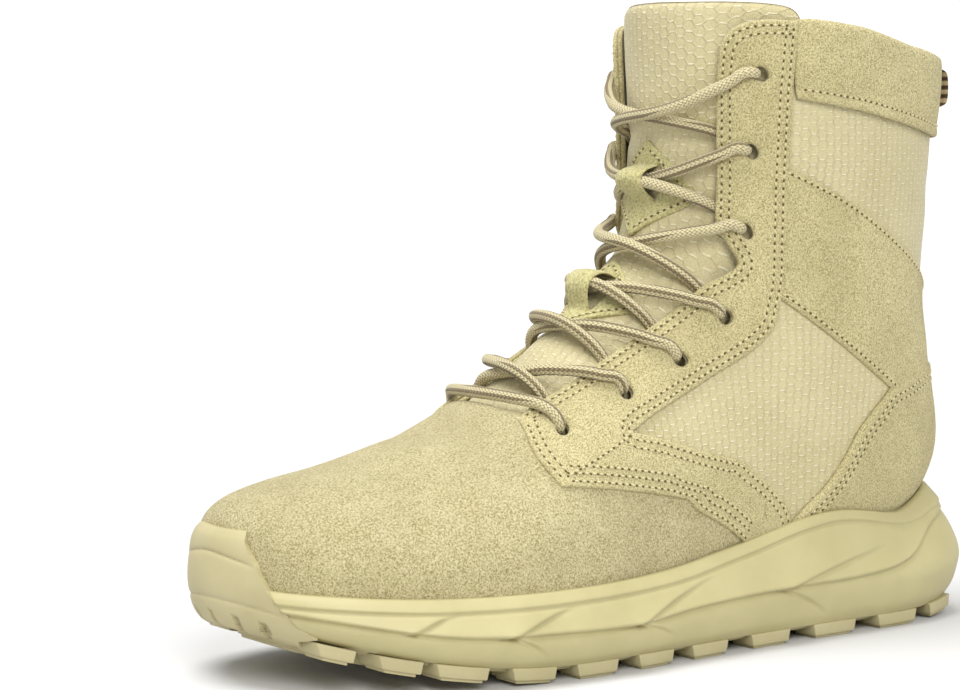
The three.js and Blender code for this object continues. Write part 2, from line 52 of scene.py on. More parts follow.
HEEL_MOUNT = next(m for m in frame["record"]["mounts"] if m["name"] == "heel_rest")["pos_m"]
LAST_ORIGIN = np.array([HEEL_MOUNT[0] + HEEL_TO_LAST, HEEL_MOUNT[1], 0.0])

# ---------- sizes in millimetres ----------
WALL = 2.0                     # of the upper
FABRIC_OUT = -0.3              # outer face of the fabric, under the suede pieces
VAMP_OUT = 0.2
BAND_OUT = 1.0                 # ankle band
STAY_OUT = 1.5                 # eyestay and wing
EDGE_RADIUS = 0.7              # rounding of a cut edge
EDGE_RINGS = (0.35, 1.0, 2.1)  # rows of points inside a cut edge, in edge radii
STITCH_PITCH = 2.7
STITCH_SIZE = (1.75, 1.0, 0.9)  # length, width, height
HOLE_SIZE = (1.2, 0.95, 0.3)   # of a needle hole, likewise
THREAD_OUT = 0.05              # middle of a stitch above the leather
HOLE_OUT = 0.0                 # middle of a needle hole above it
LET_DOWN_FROM = 8.0            # height from which stitches are let down onto a finished piece
ROW_INSET = 1.9                # first row of stitches from an edge
ROW_GAP = 2.7                  # between two rows
EYELET_RADIUS = 2.5
LACE_RADIUS = 2.05
TREAD = 5.0                    # height of the lugs with the sheet that they stand on
TREAD_SHEET = 1.8
BUMPER_WALL = 4.0
KEEPER_WALL = 1.2
KEEPER_OUT = -1.7              # outer face of a lace keeper, below the line of the last
KEEPER_RISE = 8.3              # how far the strip of a lace keeper stands off

# Section planes of the last: front x z y, back x z y, half width lateral and medial, where the widest point
# lies between front and back, superellipse powers of the two halves
SECTIONS = np.array([
    [146, 44, -10, 146, 40, -10, 1.5, 1.5, 0.50, 2.0, 2.0],
    [144, 55, -10, 144, 28, -10, 18, 17, 0.55, 2.0, 2.2],
    [137, 60, -9, 137, 22, -9, 31, 28, 0.60, 2.1, 2.8],
    [122, 64, -8, 122, 17, -8, 41, 37, 0.64, 2.1, 3.6],
    [102, 67.5, -7, 102, 15, -5, 47, 43, 0.66, 2.1, 4.5],
    [79, 73.5, -6, 79, 14, -2, 50, 46, 0.68, 2.1, 5.0],
    [58, 81.5, -5, 53, 15, 0, 50.5, 46, 0.70, 2.1, 5.0],
    [40, 93, -4, 19, 17, 1, 47, 41, 0.68, 2.1, 4.5],
    [24, 106, -3, -21, 20, 1, 43, 37, 0.62, 2.1, 4.0],
    [8, 119, -2, -73, 24, 0, 40.5, 36, 0.56, 2.1, 3.2],
    [-5, 132, -1, -117, 29, 0, 41, 38, 0.50, 2.1, 2.5],
    [-13, 146, 0, -143, 54, 0, 42.5, 40, 0.48, 2.1, 2.2],
    [-17, 160, 0, -137.5, 92, 0, 43.5, 41.5, 0.48, 2.1, 2.2],
    [-18, 174, 0, -135.5, 122, 0, 44.5, 43, 0.48, 2.1, 2.2],
    [-18, 188, 0, -137.5, 152, 0, 45.5, 44, 0.48, 2.1, 2.2],
    [-17, 203, 0, -139.8, 184, 0, 46, 45, 0.48, 2.1, 2.2],
    [-15, 222, 0, -141.5, 212, 0, 47, 46, 0.48, 2.1, 2.2],
], float)
TOP_PLANE = len(SECTIONS) - 1
PLANE_MM = 17.0                # usual distance between planes, and half a girth, for the flat patterns
GIRTH_MM = 130.0

# Outline of the sole from above, back of the heel, lateral side, toe, medial side
OUTLINE = np.array([
    [-152, 0], [-149, 18], [-138, 33], [-112, 42], [-75, 45], [-35, 48], [5, 53], [45, 57], [80, 55],
    [110, 46], [134, 29], [147, 8], [151, -10],
    [146, -28], [132, -42], [110, -50], [80, -53], [50, -52], [10, -45], [-30, -40], [-70, -40],
    [-112, -39], [-138, -31], [-149, -17]], float)
# Side wall of the midsole: share of the height, distance outside the outline
MIDSOLE_WALL = [[0, -4.0], [0.14, -1.0], [0.38, 1.0], [0.62, 0.2], [0.86, -1.6], [1, -3.4]]
# Upper edge of the midsole along the boot: x, z
RIM = [[-160, 49], [-135, 45], [-112, 39.5], [-72, 44], [-30, 36.5], [10, 30.5], [65, 29], [110, 30],
       [160, 34]]
RIM_BAND = 4.0                 # depth of the plain band under the rim
RIM_BAND_AT_HEEL = 6.0
HEEL_STARTS = -120             # x behind which the band is the deeper one
# The long wave moulded along the midsole: x, z
WAVE = [(160, 30), (130, 24), (95, 18), (60, 16.5), (25, 16), (-5, 18.5), (-45, 20), (-80, 20.5), (-106, 24),
        (-130, 35), (-160, 42)]
# Branches of the wave: x where each leaves it, its run back towards the heel, its rise
BRANCHES = [(108, 15, 5.5), (76, 27, 8), (25, 39, 12), (-46, 52, 10.5), (76, 13, -7.5), (25, 17, -6),
            (-44, 23, -11.5)]
BRANCH_BOW = 0.7               # how far a branch arches over its chord
# Outer wall of the toe bumper: share of its height, distance outside the outline
BUMPER_PROFILE = [[0, -5.5], [0.05, -3.2], [0.16, -0.9], [0.3, 0.3], [0.48, 0.9], [0.65, 0.5], [0.82, -0.6],
                  [0.94, -1.7], [1, -3.0]]
BUMPER_TOP = 50
BUMPER_SLOTS = (14, 4, -8, -20)  # y of each short slot over the tread
# Rear edge of the toe bumper: z, x
BUMPER_EDGE = [[60, 148.5], [47, 147], [33, 143], [22, 137.5], [18, 133], [17, 138], [0, 138]]
# Perimeter lugs: x of front and back of each
LUGS = [[133, 123], [117, 104], [100, 82.5], [74.5, 57.5], [49.5, 32], [23, 6.5], [-2, -19.5],
        [-31, -50], [-61.5, -82.5], [-93.5, -114], [-122, -137]]
LUG_DEPTH = 17                 # from the outline towards the middle of the tread
LUG_INSET = 3.6                # outer side of a lug inside the outline
# Rise of the tread off the floor at the toe and at the heel: height, x where it starts, length
TOE_SPRING = (18, 45, 107)
HEEL_SPRING = (5, -105, 47)
# Top line of the collar: x, z, from the throat to the back seam
TOP_LINE = [[-29, 196], [-30.5, 205], [-35, 210.5], [-45, 213], [-55, 213.3], [-78, 210.4], [-101, 204.8],
            [-125, 201.5], [-151, 200]]
# Lower line of the collar band, top edge of the heel counter, and footbed: x, z
BAND_LINE = [[-53, 187], [-78, 183], [-120, 174.5], [-165, 172]]
COUNTER_LINE = [[-55, 30], [-55, 42], [-80, 69], [-100, 87], [-122, 92], [-165, 96]]
FOOTBED = [[-160, 37], [-95, 36], [-60, 32.5], [-20, 28], [20, 24.5], [50, 21.5], [80, 20.5], [110, 22.5],
           [135, 27.5], [160, 34]]
# Eyelets, top to bottom: u, q
EYELETS = [(14.79, 0.295), (13.24, 0.28), (11.64, 0.28), (10.09, 0.3), (9.04, 0.295), (8.09, 0.275),
           (6.9, 0.24)]
# Half width of the throat: u, q
THROAT = [[6.45, 0.09], [6.75, 0.145], [7.7, 0.18], [8.9, 0.2], [10.2, 0.225], [10.75, 0.262],
          [11.1, 0.27], [11.35, 0.222], [12.8, 0.205], [14.1, 0.2], [15.3, 0.205], [16, 0.21]]
# Ends of the zip, on the medial side: x, z
ZIP_TOP = (-83, 179)
ZIP_BOTTOM = (-60, 58)

# Creases and ridges pressed into the leather by wear and lasting: from u q to u q, width and depth in
# millimetres (a depth below zero is a trough)
CREASES = [
    (5.3, -0.30, 5.5, 0.02, 9, -0.9), (5.5, 0.02, 5.9, 0.34, 8, -0.8), (5.0, -0.05, 5.35, 0.28, 8, 0.5),
    (6.2, 0.30, 6.9, 0.42, 5, -0.5), (5.9, 0.36, 6.9, 0.50, 7, 0.5), (4.4, 0.22, 5.2, 0.45, 12, -0.6),
    (9.9, 0.42, 9.2, 0.56, 8, -0.7), (10.4, 0.40, 10.0, 0.56, 6, 0.5),
    (12.2, 0.40, 11.9, 0.75, 10, 0.8), (11.7, 0.40, 11.5, 0.70, 7, -0.9), (12.9, 0.42, 12.5, 0.85, 9, -0.7),
    (13.9, 0.45, 13.6, 0.95, 11, 0.8), (14.2, 0.42, 14.0, 0.80, 6, -0.5),
    (12.2, -0.40, 11.9, -0.75, 10, 0.8), (11.7, -0.40, 11.5, -0.70, 7, -0.9),
    (9.9, -0.42, 9.2, -0.56, 8, -0.7), (12.9, -0.42, 12.5, -0.85, 9, -0.7), (5.9, -0.34, 6.9, -0.50, 7, 0.5),
]


# ---------- curves and the last ----------
def catmull(rows, u):
    """Rows of a table, read at any place between two rows."""
    last = len(rows) - 1
    u = np.clip(u, 0, last - 1e-9)
    i = np.floor(u).astype(int)
    t = (u - i)[..., None]
    p1, p2 = rows[i], rows[i + 1]
    p0 = np.where((i > 0)[..., None], rows[np.maximum(i - 1, 0)], 2 * p1 - p2)
    p3 = np.where((i < last - 1)[..., None], rows[np.minimum(i + 2, last)], 2 * p2 - p1)
    return 0.5 * (2 * p1 + (p2 - p0) * t + (2 * p0 - 5 * p1 + 4 * p2 - p3) * t ** 2
                  + (3 * p1 - p0 - 3 * p2 + p3) * t ** 3)


def curve(points, count=30):
    """A soft line through some points."""
    points = np.asarray(points, float)
    return catmull(points, np.linspace(0, len(points) - 1, count))


def travelled(points):
    """Distance covered along a line, at each of its points."""
    return np.concatenate([[0], np.cumsum(np.linalg.norm(np.diff(points, axis=0), axis=1))])


def along(table, x):
    """Second column of a table at a value of its first."""
    table = np.asarray(sorted(table), float)
    return np.interp(x, table[:, 0], table[:, 1])


def on_last(u, q):
    """Point of the last at u and q, in millimetres."""
    u, q = np.broadcast_arrays(np.asarray(u, float), np.asarray(q, float))
    v = (q + 1) % 2 - 1
    row = catmull(SECTIONS, u)
    front, back = row[..., :3], row[..., 3:6]
    lateral, medial, widest, front_power, back_power = np.moveaxis(row[..., 6:], -1, 0)
    cos, sin = np.cos(np.abs(v) * np.pi), np.sin(np.abs(v) * np.pi)
    power = np.where(cos > 0, front_power, back_power)
    reach = np.abs(cos) ** (2 / power)
    share = np.where(cos > 0, widest * (1 - reach), widest + (1 - widest) * reach)
    middle = front + (back - front) * share[..., None]
    side = np.where(v >= 0, lateral, -medial) * np.maximum(sin, 0) ** (2 / power)
    return np.stack([middle[..., 0], middle[..., 2] + side, middle[..., 1]], -1)


def last_frame(u, q):
    """Steps along u and q, and the outward normal."""
    du, dq = 0.05, 0.02
    low, high = np.clip(u - du, 0, TOP_PLANE), np.clip(u + du, 0, TOP_PLANE)
    step_u = (on_last(high, q) - on_last(low, q)) / np.maximum(high - low, 1e-6)[..., None]
    step_q = (on_last(u, q + dq) - on_last(u, q - dq)) / (2 * dq)
    normal = np.cross(step_q, step_u)
    return step_u, step_q, normal / np.maximum(np.linalg.norm(normal, axis=-1, keepdims=True), 1e-9)


def slack(points):
    """Height of the creases at points on the last."""
    total = np.zeros(len(points))
    for u0, q0, u1, q1, width, depth in CREASES:
        a, b = on_last(u0, q0), on_last(u1, q1)
        run = b - a
        share = np.clip((points - a) @ run / (run @ run), 0, 1)
        miss = np.linalg.norm(points - a - share[:, None] * run, axis=1)
        total += depth * np.exp(-(miss / width) ** 2)
    return total


def off_last(u, q, out, creased=True):
    """Point at a height over the last, on the leather's creases unless told otherwise."""
    u, q, out = np.broadcast_arrays(np.asarray(u, float), np.asarray(q, float), np.asarray(out, float))
    shape = u.shape
    u, q, out = u.ravel(), q.ravel(), out.ravel()
    base = on_last(u, q)
    normal = last_frame(u, q)[2]
    rise = out + (slack(base) if creased else 0)
    return (base + normal * rise[:, None]).reshape(*shape, 3)


def bisect(test, low, high):
    """Where test, which is above zero at low and below it at high, changes sign."""
    low, high = np.array(low, float), np.array(high, float)
    for _ in range(36):
        middle = (low + high) / 2
        above = test(middle) > 0
        low, high = np.where(above, middle, low), np.where(above, high, middle)
    return (low + high) / 2


def level(q, line, lowest=11.0):
    """Plane on which a line of x and z heights crosses the shaft at q."""
    def test(u):
        p = on_last(u, q)
        return along(line, p[:, 0]) - p[:, 2]
    q = np.asarray(q, float)
    return bisect(test, np.full(q.shape, lowest), np.full(q.shape, float(TOP_PLANE)))


def waterline(u, side):
    """Place round a plane where the upper dips below the footbed."""
    def test(q):
        p = on_last(u, side * q)
        return p[:, 2] - along(FOOTBED, p[:, 0]) - 1.5
    u = np.asarray(u, float)
    return side * bisect(test, np.full(u.shape, 0.45), np.full(u.shape, 0.97))


def place_on_side(x, z, side):
    """u and q of the side of the boot at x and z."""
    u, q = np.full(np.shape(x), 12.5), np.full(np.shape(x), 0.52 * side)
    for _ in range(40):
        p = on_last(u, q)
        step_u, step_q, _ = last_frame(u, q)
        dx, dz = x - p[..., 0], z - p[..., 2]
        det = step_u[..., 0] * step_q[..., 2] - step_q[..., 0] * step_u[..., 2]
        u = np.clip(u + 0.6 * (dx * step_q[..., 2] - dz * step_q[..., 0]) / det, 6, TOP_PLANE)
        q = q + 0.6 * (dz * step_u[..., 0] - dx * step_u[..., 2]) / det
    return np.stack([u, q], -1)


def to_frame(points):
    """Millimetres on the last to metres in the boot's frame."""
    return np.asarray(points) * MM + LAST_ORIGIN


# ---------- flat patterns ----------
def smooth(points, step=1.0):
    """A soft line through a few places of the pattern, sampled every step millimetres."""
    points = np.asarray(points, float)
    if len(points) == 2:
        fine = points[0] + (points[1] - points[0]) * np.linspace(0, 1, 60)[:, None]
    else:
        fine = catmull(points, np.linspace(0, len(points) - 1, 24 * len(points)))
    solid = on_last(fine[:, 0], fine[:, 1])
    travel = travelled(solid)
    count = max(2, int(round(travel[-1] / step)) + 1)
    wanted = np.linspace(0, travel[-1], count)
    return np.stack([np.interp(wanted, travel, fine[:, k]) for k in (0, 1)], -1)


def aside(line, distance):
    """The line moved over the leather by a distance, to the left of its direction seen from outside."""
    u, q = line[:, 0], line[:, 1]
    step_u, step_q, normal = last_frame(u, q)
    solid = on_last(u, q)
    run = np.gradient(solid, axis=0)
    run /= np.maximum(np.linalg.norm(run, axis=1, keepdims=True), 1e-9)
    left = np.cross(normal, run) * distance
    uu, uq, qq = (np.sum(a * b, 1) for a, b in ((step_u, step_u), (step_u, step_q), (step_q, step_q)))
    lu, lq = np.sum(left * step_u, 1), np.sum(left * step_q, 1)
    det = np.maximum(uu * qq - uq ** 2, 1e-6)
    return line + np.stack([(lu * qq - lq * uq) / det, (lq * uu - lu * uq) / det], -1)


def flat(line):
    """u and q laid out flat, in about millimetres."""
    return line * (PLANE_MM, GIRTH_MM)


def inside(points, loop):
    """Which points lie inside a closed loop."""
    x, y = points[:, 0], points[:, 1]
    hit = np.zeros(len(points), bool)
    for (x0, y0), (x1, y1) in zip(loop, np.roll(loop, -1, 0)):
        if y0 != y1:
            hit ^= ((y0 > y) != (y1 > y)) & (x < (x1 - x0) * (y - y0) / (y1 - y0) + x0)
    return hit


def nearest(points, targets):
    """Distance from each point to the nearest target."""
    tree = KDTree(len(targets))
    for k, p in enumerate(targets):
        tree.insert(p, k)
    tree.balance()
    return np.array([tree.find(p)[2] for p in points])


def make_mesh(name, points, faces, looks, slots=None):
    """A finished mesh piece in metres. slots gives each face its look."""
    mesh = bpy.data.meshes.new(name)
    mesh.from_pydata([tuple(p) for p in points], [], [tuple(int(k) for k in f) for f in faces])
    for look in looks:
        mesh.materials.append(look)
    if slots is not None:
        mesh.polygons.foreach_set("material_index", np.asarray(slots, np.int32))
    mesh.polygons.foreach_set("use_smooth", np.ones(len(mesh.polygons), bool))
    mesh.update()
    piece = bpy.data.objects.new(name, mesh)
    bpy.context.scene.collection.objects.link(piece)
    return piece


def add_uv(piece, per_point):
    """The map of a cloth or leather piece, in millimetres over its surface."""
    layer = piece.data.uv_layers.new(name="cloth")
    corners = np.zeros(len(piece.data.loops), np.int32)
    piece.data.loops.foreach_get("vertex_index", corners)
    layer.data.foreach_set("uv", np.asarray(per_point, np.float32)[corners].ravel())


def wrap_length(points):
    """Distance round the shaft, level, from its widest place; ahead of that it is simply the length."""
    middle, deep, wide = -81.0, 64.0, 44.0
    behind = np.maximum(middle - points[:, 0], 0) / deep
    angle = np.arctan2(behind, np.abs(points[:, 1]) / wide)
    steps = np.linspace(0, np.pi / 2, 200)
    paces = np.hypot(deep * np.cos(steps), wide * np.sin(steps))[:-1] * steps[1]
    arc = np.concatenate([[0], np.cumsum(paces)])
    return np.where(points[:, 0] > middle, middle - points[:, 0], np.interp(angle, steps, arc))


def hole_loop(u, q):
    """A punched eyelet in the flat pattern."""
    step_u, step_q, _ = last_frame(np.array([u]), np.array([q]))
    turn = np.linspace(0, 2 * np.pi, 20, endpoint=False)
    return np.stack([u + EYELET_RADIUS * np.sin(turn) / np.linalg.norm(step_u),
                     q + EYELET_RADIUS * np.cos(turn) / np.linalg.norm(step_q)], -1)


def honeycomb(outline, grid):
    """Staggered rows of points, grid millimetres apart, inside an outline."""
    low, high = flat(outline).min(0), flat(outline).max(0)
    rows = np.arange(low[0], high[0], grid * 0.87)
    cells = [np.stack([np.full(n.shape, a), n], -1) for k, a in enumerate(rows)
             for n in [np.arange(low[1] + (k % 2) * grid / 2, high[1], grid)]]
    cells = np.concatenate(cells) / (PLANE_MM, GIRTH_MM)
    return cells[inside(flat(cells), flat(outline))]


def edge_walls(faces, n):
    """Walls between the open edges of an upper sheet and of the lower sheet, n points further on."""
    sides = {}
    for tri in faces:
        for i, j in ((0, 1), (1, 2), (2, 0)):
            sides[(tri[i], tri[j])] = sides.get((tri[i], tri[j]), 0) + 1
    return [(j, i, i + n, j + n) for (i, j) in sides if (j, i) not in sides]


def cut_and_last(name, legs, inner, outer, looks, holes=(), grid=2.4, radius=EDGE_RADIUS, shape=None,
                 creased=True, under_rounded=False, lifted=False):
    """A piece cut flat to its outline and pulled over the last. legs are the sides of the outline, each a
    soft line from corner to corner. shape adds height from u, q and the distance to the edge."""
    outline = np.concatenate([smooth(leg)[:-1] for leg in legs])
    area = np.sum(outline[:, 0] * np.roll(outline[:, 1], -1) - np.roll(outline[:, 0], -1) * outline[:, 1])
    if area < 0:
        outline = outline[::-1]
    closed = np.concatenate([outline, outline[:1]])
    fine_edge = np.concatenate([closed[:-1], (closed[:-1] + closed[1:]) / 2])
    loops = [outline]
    for hole in holes:
        loops.append(np.asarray(hole, float) if len(hole) > 2 else hole_loop(*hole))
    rings = []
    for share in EDGE_RINGS:
        ring = aside(closed, -radius * share)[:-1]
        other = aside(closed, radius * share)[:-1]
        ring = ring if inside(flat(ring), flat(outline)).mean() > 0.5 else other
        rings.append(ring[inside(flat(ring), flat(outline))])
    cells = honeycomb(outline, grid)
    edge_solid = on_last(fine_edge[:, 0], fine_edge[:, 1])
    clear = EDGE_RINGS[-1] * radius + 0.45 * grid
    cells = cells[nearest(on_last(cells[:, 0], cells[:, 1]), edge_solid) > clear]
    kept = [loops[0]]
    for ring, share in zip(rings, EDGE_RINGS):
        kept.append(ring[nearest(on_last(ring[:, 0], ring[:, 1]), edge_solid) > radius * share * 0.8])
    for hole in loops[1:]:
        hole_solid = on_last(hole[:, 0], hole[:, 1])
        cells = cells[~inside(flat(cells), flat(hole))]
        cells = cells[nearest(on_last(cells[:, 0], cells[:, 1]), hole_solid) > 0.6 * grid]
        kept.append(hole)
        if len(hole) < 24:
            kept.append(hole.mean(0) + (hole - hole.mean(0)) * 1.35)
    kept.append(cells)
    points = np.concatenate(kept)
    edges, start = [], 0
    for part in kept:
        if any(part is loop for loop in loops):
            n = len(part)
            edges += [(start + k, start + (k + 1) % n) for k in range(n)]
        start += len(part)
    coords, _, faces, _, _, _ = delaunay_2d_cdt([Vector(p) for p in flat(points)], edges, [], 0, 1e-5)
    coords = np.array([tuple(c) for c in coords])
    faces = np.array([f for f in faces if len(f) == 3])
    centres = coords[faces].mean(1)
    good = inside(centres, flat(outline))
    for hole in loops[1:]:
        good &= ~inside(centres, flat(hole))
    faces = faces[good]
    used, faces = np.unique(faces, return_inverse=True)
    faces = faces.reshape(-1, 3)
    place = coords[used] / (PLANE_MM, GIRTH_MM)
    u, q = place[:, 0], place[:, 1]
    hole_edge = [on_last(h[:, 0], h[:, 1]) for h in loops[1:]]
    from_edge = nearest(on_last(u, q), np.concatenate([edge_solid, *hole_edge]))
    drop = np.maximum(radius - from_edge, 0)
    rounding = radius - np.sqrt(np.maximum(radius ** 2 - drop ** 2, 0))
    top = np.full(len(u), float(outer)) - rounding
    from_outline = nearest(on_last(u, q), edge_solid)
    if shape is not None:
        top = top + shape(u, q, from_outline)
    bottom = np.full(len(u), float(inner)) + (rounding if under_rounded else 0)
    if lifted and shape is not None:
        bottom = bottom + shape(u, q, from_outline)
    solid = np.concatenate([off_last(u, q, top, creased), off_last(u, q, bottom, creased)])
    a, b, c = (solid[faces[:, k]] for k in range(3))
    normal = last_frame(u[faces[:, 0]], q[faces[:, 0]])[2]
    flip = np.sum(np.cross(b - a, c - a) * normal, 1) < 0
    faces[flip] = faces[flip][:, ::-1]
    n = len(u)
    walls = edge_walls(faces, n)
    every = [tuple(f) for f in faces] + [tuple(f[::-1] + n) for f in faces] + walls
    slots = [0] * len(faces) + [len(looks) - 1] * len(faces) + [0] * len(walls)
    piece = make_mesh(name, to_frame(solid), every, looks, slots)
    add_uv(piece, np.stack([wrap_length(solid), solid[:, 2]], -1))
    return piece


def finish_piece(piece, slot, *nodes, body="boot"):
    """Puts a piece on its body and hides the CAD nodes it stands for. slot is not used."""
    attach(piece, body)
    if nodes:
        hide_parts(*nodes)
    return piece


# ---------- tools for modelling by hand ----------
def pick_none():
    """Leaves edit mode with nothing picked."""
    if bpy.context.object and bpy.context.object.mode == "EDIT":
        bpy.ops.object.mode_set(mode="OBJECT")
    bpy.ops.object.select_all(action="DESELECT")


def settle(piece, name, look):
    """Names a hand-modelled piece, gives it its look and puts its place into its mesh."""
    bpy.ops.object.mode_set(mode="OBJECT")
    bpy.ops.object.transform_apply(location=True, rotation=True, scale=True)
    piece.name = name
    piece.data.name = name
    piece.data.materials.clear()
    piece.data.materials.append(look)
    return piece


def apply_modifier(piece, kind, **settings):
    """Finishes a piece with one modifier."""
    modifier = piece.modifiers.new(kind.lower(), kind)
    for key, value in settings.items():
        setattr(modifier, key, value)
    pick_none()
    bpy.context.view_layer.objects.active = piece
    piece.select_set(True)
    bpy.ops.object.modifier_apply(modifier=modifier.name)


def shape_of(piece):
    """Vertices and faces of a small model, which is then taken away: the copies are joined meshes."""
    points = np.array([tuple(v.co) for v in piece.data.vertices])
    faces = [tuple(p.vertices) for p in piece.data.polygons]
    bpy.data.objects.remove(piece)
    return points, faces


def placed(model, frames):
    """Points and faces of copies of a small model, each in a frame of x, y, z and origin, in metres."""
    points, faces = model
    solid = np.concatenate([points @ np.array(f[:3]) + f[3] for f in frames])
    every = [tuple(k + i * len(points) for k in face) for i in range(len(frames)) for face in faces]
    return solid, every


def ring_faces(rings, n):
    """Faces between rings of n points each."""
    return [(r * n + k, r * n + (k + 1) % n, (r + 1) * n + (k + 1) % n, (r + 1) * n + k)
            for r in range(rings - 1) for k in range(n)]


def end_caps(rings, n):
    """Faces over the first and the last ring."""
    return [tuple(range(n - 1, -1, -1)), tuple((rings - 1) * n + k for k in range(n))]


def face_out(piece):
    """Turns every face of a closed piece outwards."""
    pick_none()
    bpy.context.view_layer.objects.active = piece
    piece.select_set(True)
    bpy.ops.object.mode_set(mode="EDIT")
    bpy.ops.mesh.select_all(action="SELECT")
    bpy.ops.mesh.normals_make_consistent(inside=False)
    bpy.ops.object.mode_set(mode="OBJECT")


# ---------- materials ----------
def linear(code):
    """An sRGB hex colour as linear light."""
    parts = [int(code[k:k + 2], 16) / 255 for k in (1, 3, 5)]
    return (*[p / 12.92 if p <= 0.04045 else ((p + 0.055) / 1.055) ** 2.4 for p in parts], 1.0)


def node(tree, kind, inputs=None, **settings):
    """Adds a node with its settings. Each input gets a value or a link."""
    made = tree.nodes.new("ShaderNode" + kind)
    for key, value in settings.items():
        setattr(made, key, value)
    for key, value in (inputs or {}).items():
        if isinstance(value, bpy.types.NodeSocket):
            tree.links.new(value, made.inputs[key])
        else:
            made.inputs[key].default_value = value
    return made


def start_material(name):
    material = bpy.data.materials.new(name)
    material.use_nodes = True
    tree = material.node_tree
    tree.nodes.clear()
    return material, tree


def finish_material(tree, colour, roughness, height=None, depth_mm=0.2, strength=1.0, **constants):
    """Bump, shader and output. The constants are the same all over the surface."""
    inputs = {"Base Color": colour, "Roughness": roughness}
    if height is not None:
        bump = node(tree, "Bump", {"Height": height, "Strength": strength, "Distance": depth_mm * MM})
        inputs["Normal"] = bump.outputs["Normal"]
    shader = node(tree, "BsdfPrincipled", inputs)
    for key, value in constants.items():
        shader.inputs[key.replace("_", " ")].default_value = value
    node(tree, "OutputMaterial", {"Surface": shader.outputs["BSDF"]})


def grain(tree, place, size_mm, detail=3.0, rough=0.6):
    return node(tree, "TexNoise", {"Vector": place, "Scale": 1 / (size_mm * MM), "Detail": detail,
                                   "Roughness": rough}).outputs["Fac"]


def spread(tree, value, low, high, start=0.0, end=1.0):
    """Stretches the part of a value between low and high."""
    return node(tree, "MapRange", {"Value": value, "From Min": low, "From Max": high, "To Min": start,
                                   "To Max": end}).outputs["Result"]


def blend_colours(tree, share, a, b, mode="MIX"):
    mixed = node(tree, "Mix", {}, data_type="RGBA", blend_type=mode)
    for socket, value in ((mixed.inputs[0], share), (mixed.inputs[6], a), (mixed.inputs[7], b)):
        if isinstance(value, bpy.types.NodeSocket):
            tree.links.new(value, socket)
        else:
            socket.default_value = value
    return mixed.outputs[2]


def maths(tree, operation, a, b=0.0, c=0.0):
    return node(tree, "Math", {0: a, 1: b, 2: c}, operation=operation).outputs[0]


def suede(name, light, middle, dark, nap_mm, depth_mm):
    """Suede, split leather buffed to a nap: matt, darker patches of tone, lighter brushed patches as painted
    sheen, and tufts about nap_mm apart, with painted shade in the pits between them and a painted highlight
    on the tips."""
    material, tree = start_material(name)
    place = node(tree, "TexCoord").outputs["Object"]
    patches = grain(tree, place, 30, 3, 0.55)
    brushed = grain(tree, place, 6, 4, 0.6)
    nap = grain(tree, place, nap_mm, 2, 0.55)
    fibre = grain(tree, place, nap_mm * 0.4, 2, 0.7)
    tufts = maths(tree, "ADD", maths(tree, "MULTIPLY", nap, 0.6), maths(tree, "MULTIPLY", fibre, 0.4))
    # painted light in the nap: the dark pits between tufts are painted shade, the light tips a painted
    # highlight
    base = blend_colours(tree, spread(tree, tufts, 0.4, 0.51), linear(dark), linear(middle))
    tip_highlighted = blend_colours(tree, spread(tree, tufts, 0.51, 0.62), base, linear(light))
    # painted sheen: lighter brushed patches
    lit = blend_colours(tree, spread(tree, brushed, 0.45, 0.7, 0.0, 0.22), tip_highlighted, linear(light))
    colour = blend_colours(tree, spread(tree, patches, 0.4, 0.65, 0.0, 0.22), lit, linear(dark))
    finish_material(tree, colour, 0.95, tufts, depth_mm, 1.0, Sheen_Weight=0.15, Sheen_Roughness=0.5,
                    Specular_IOR_Level=0.15)
    return material


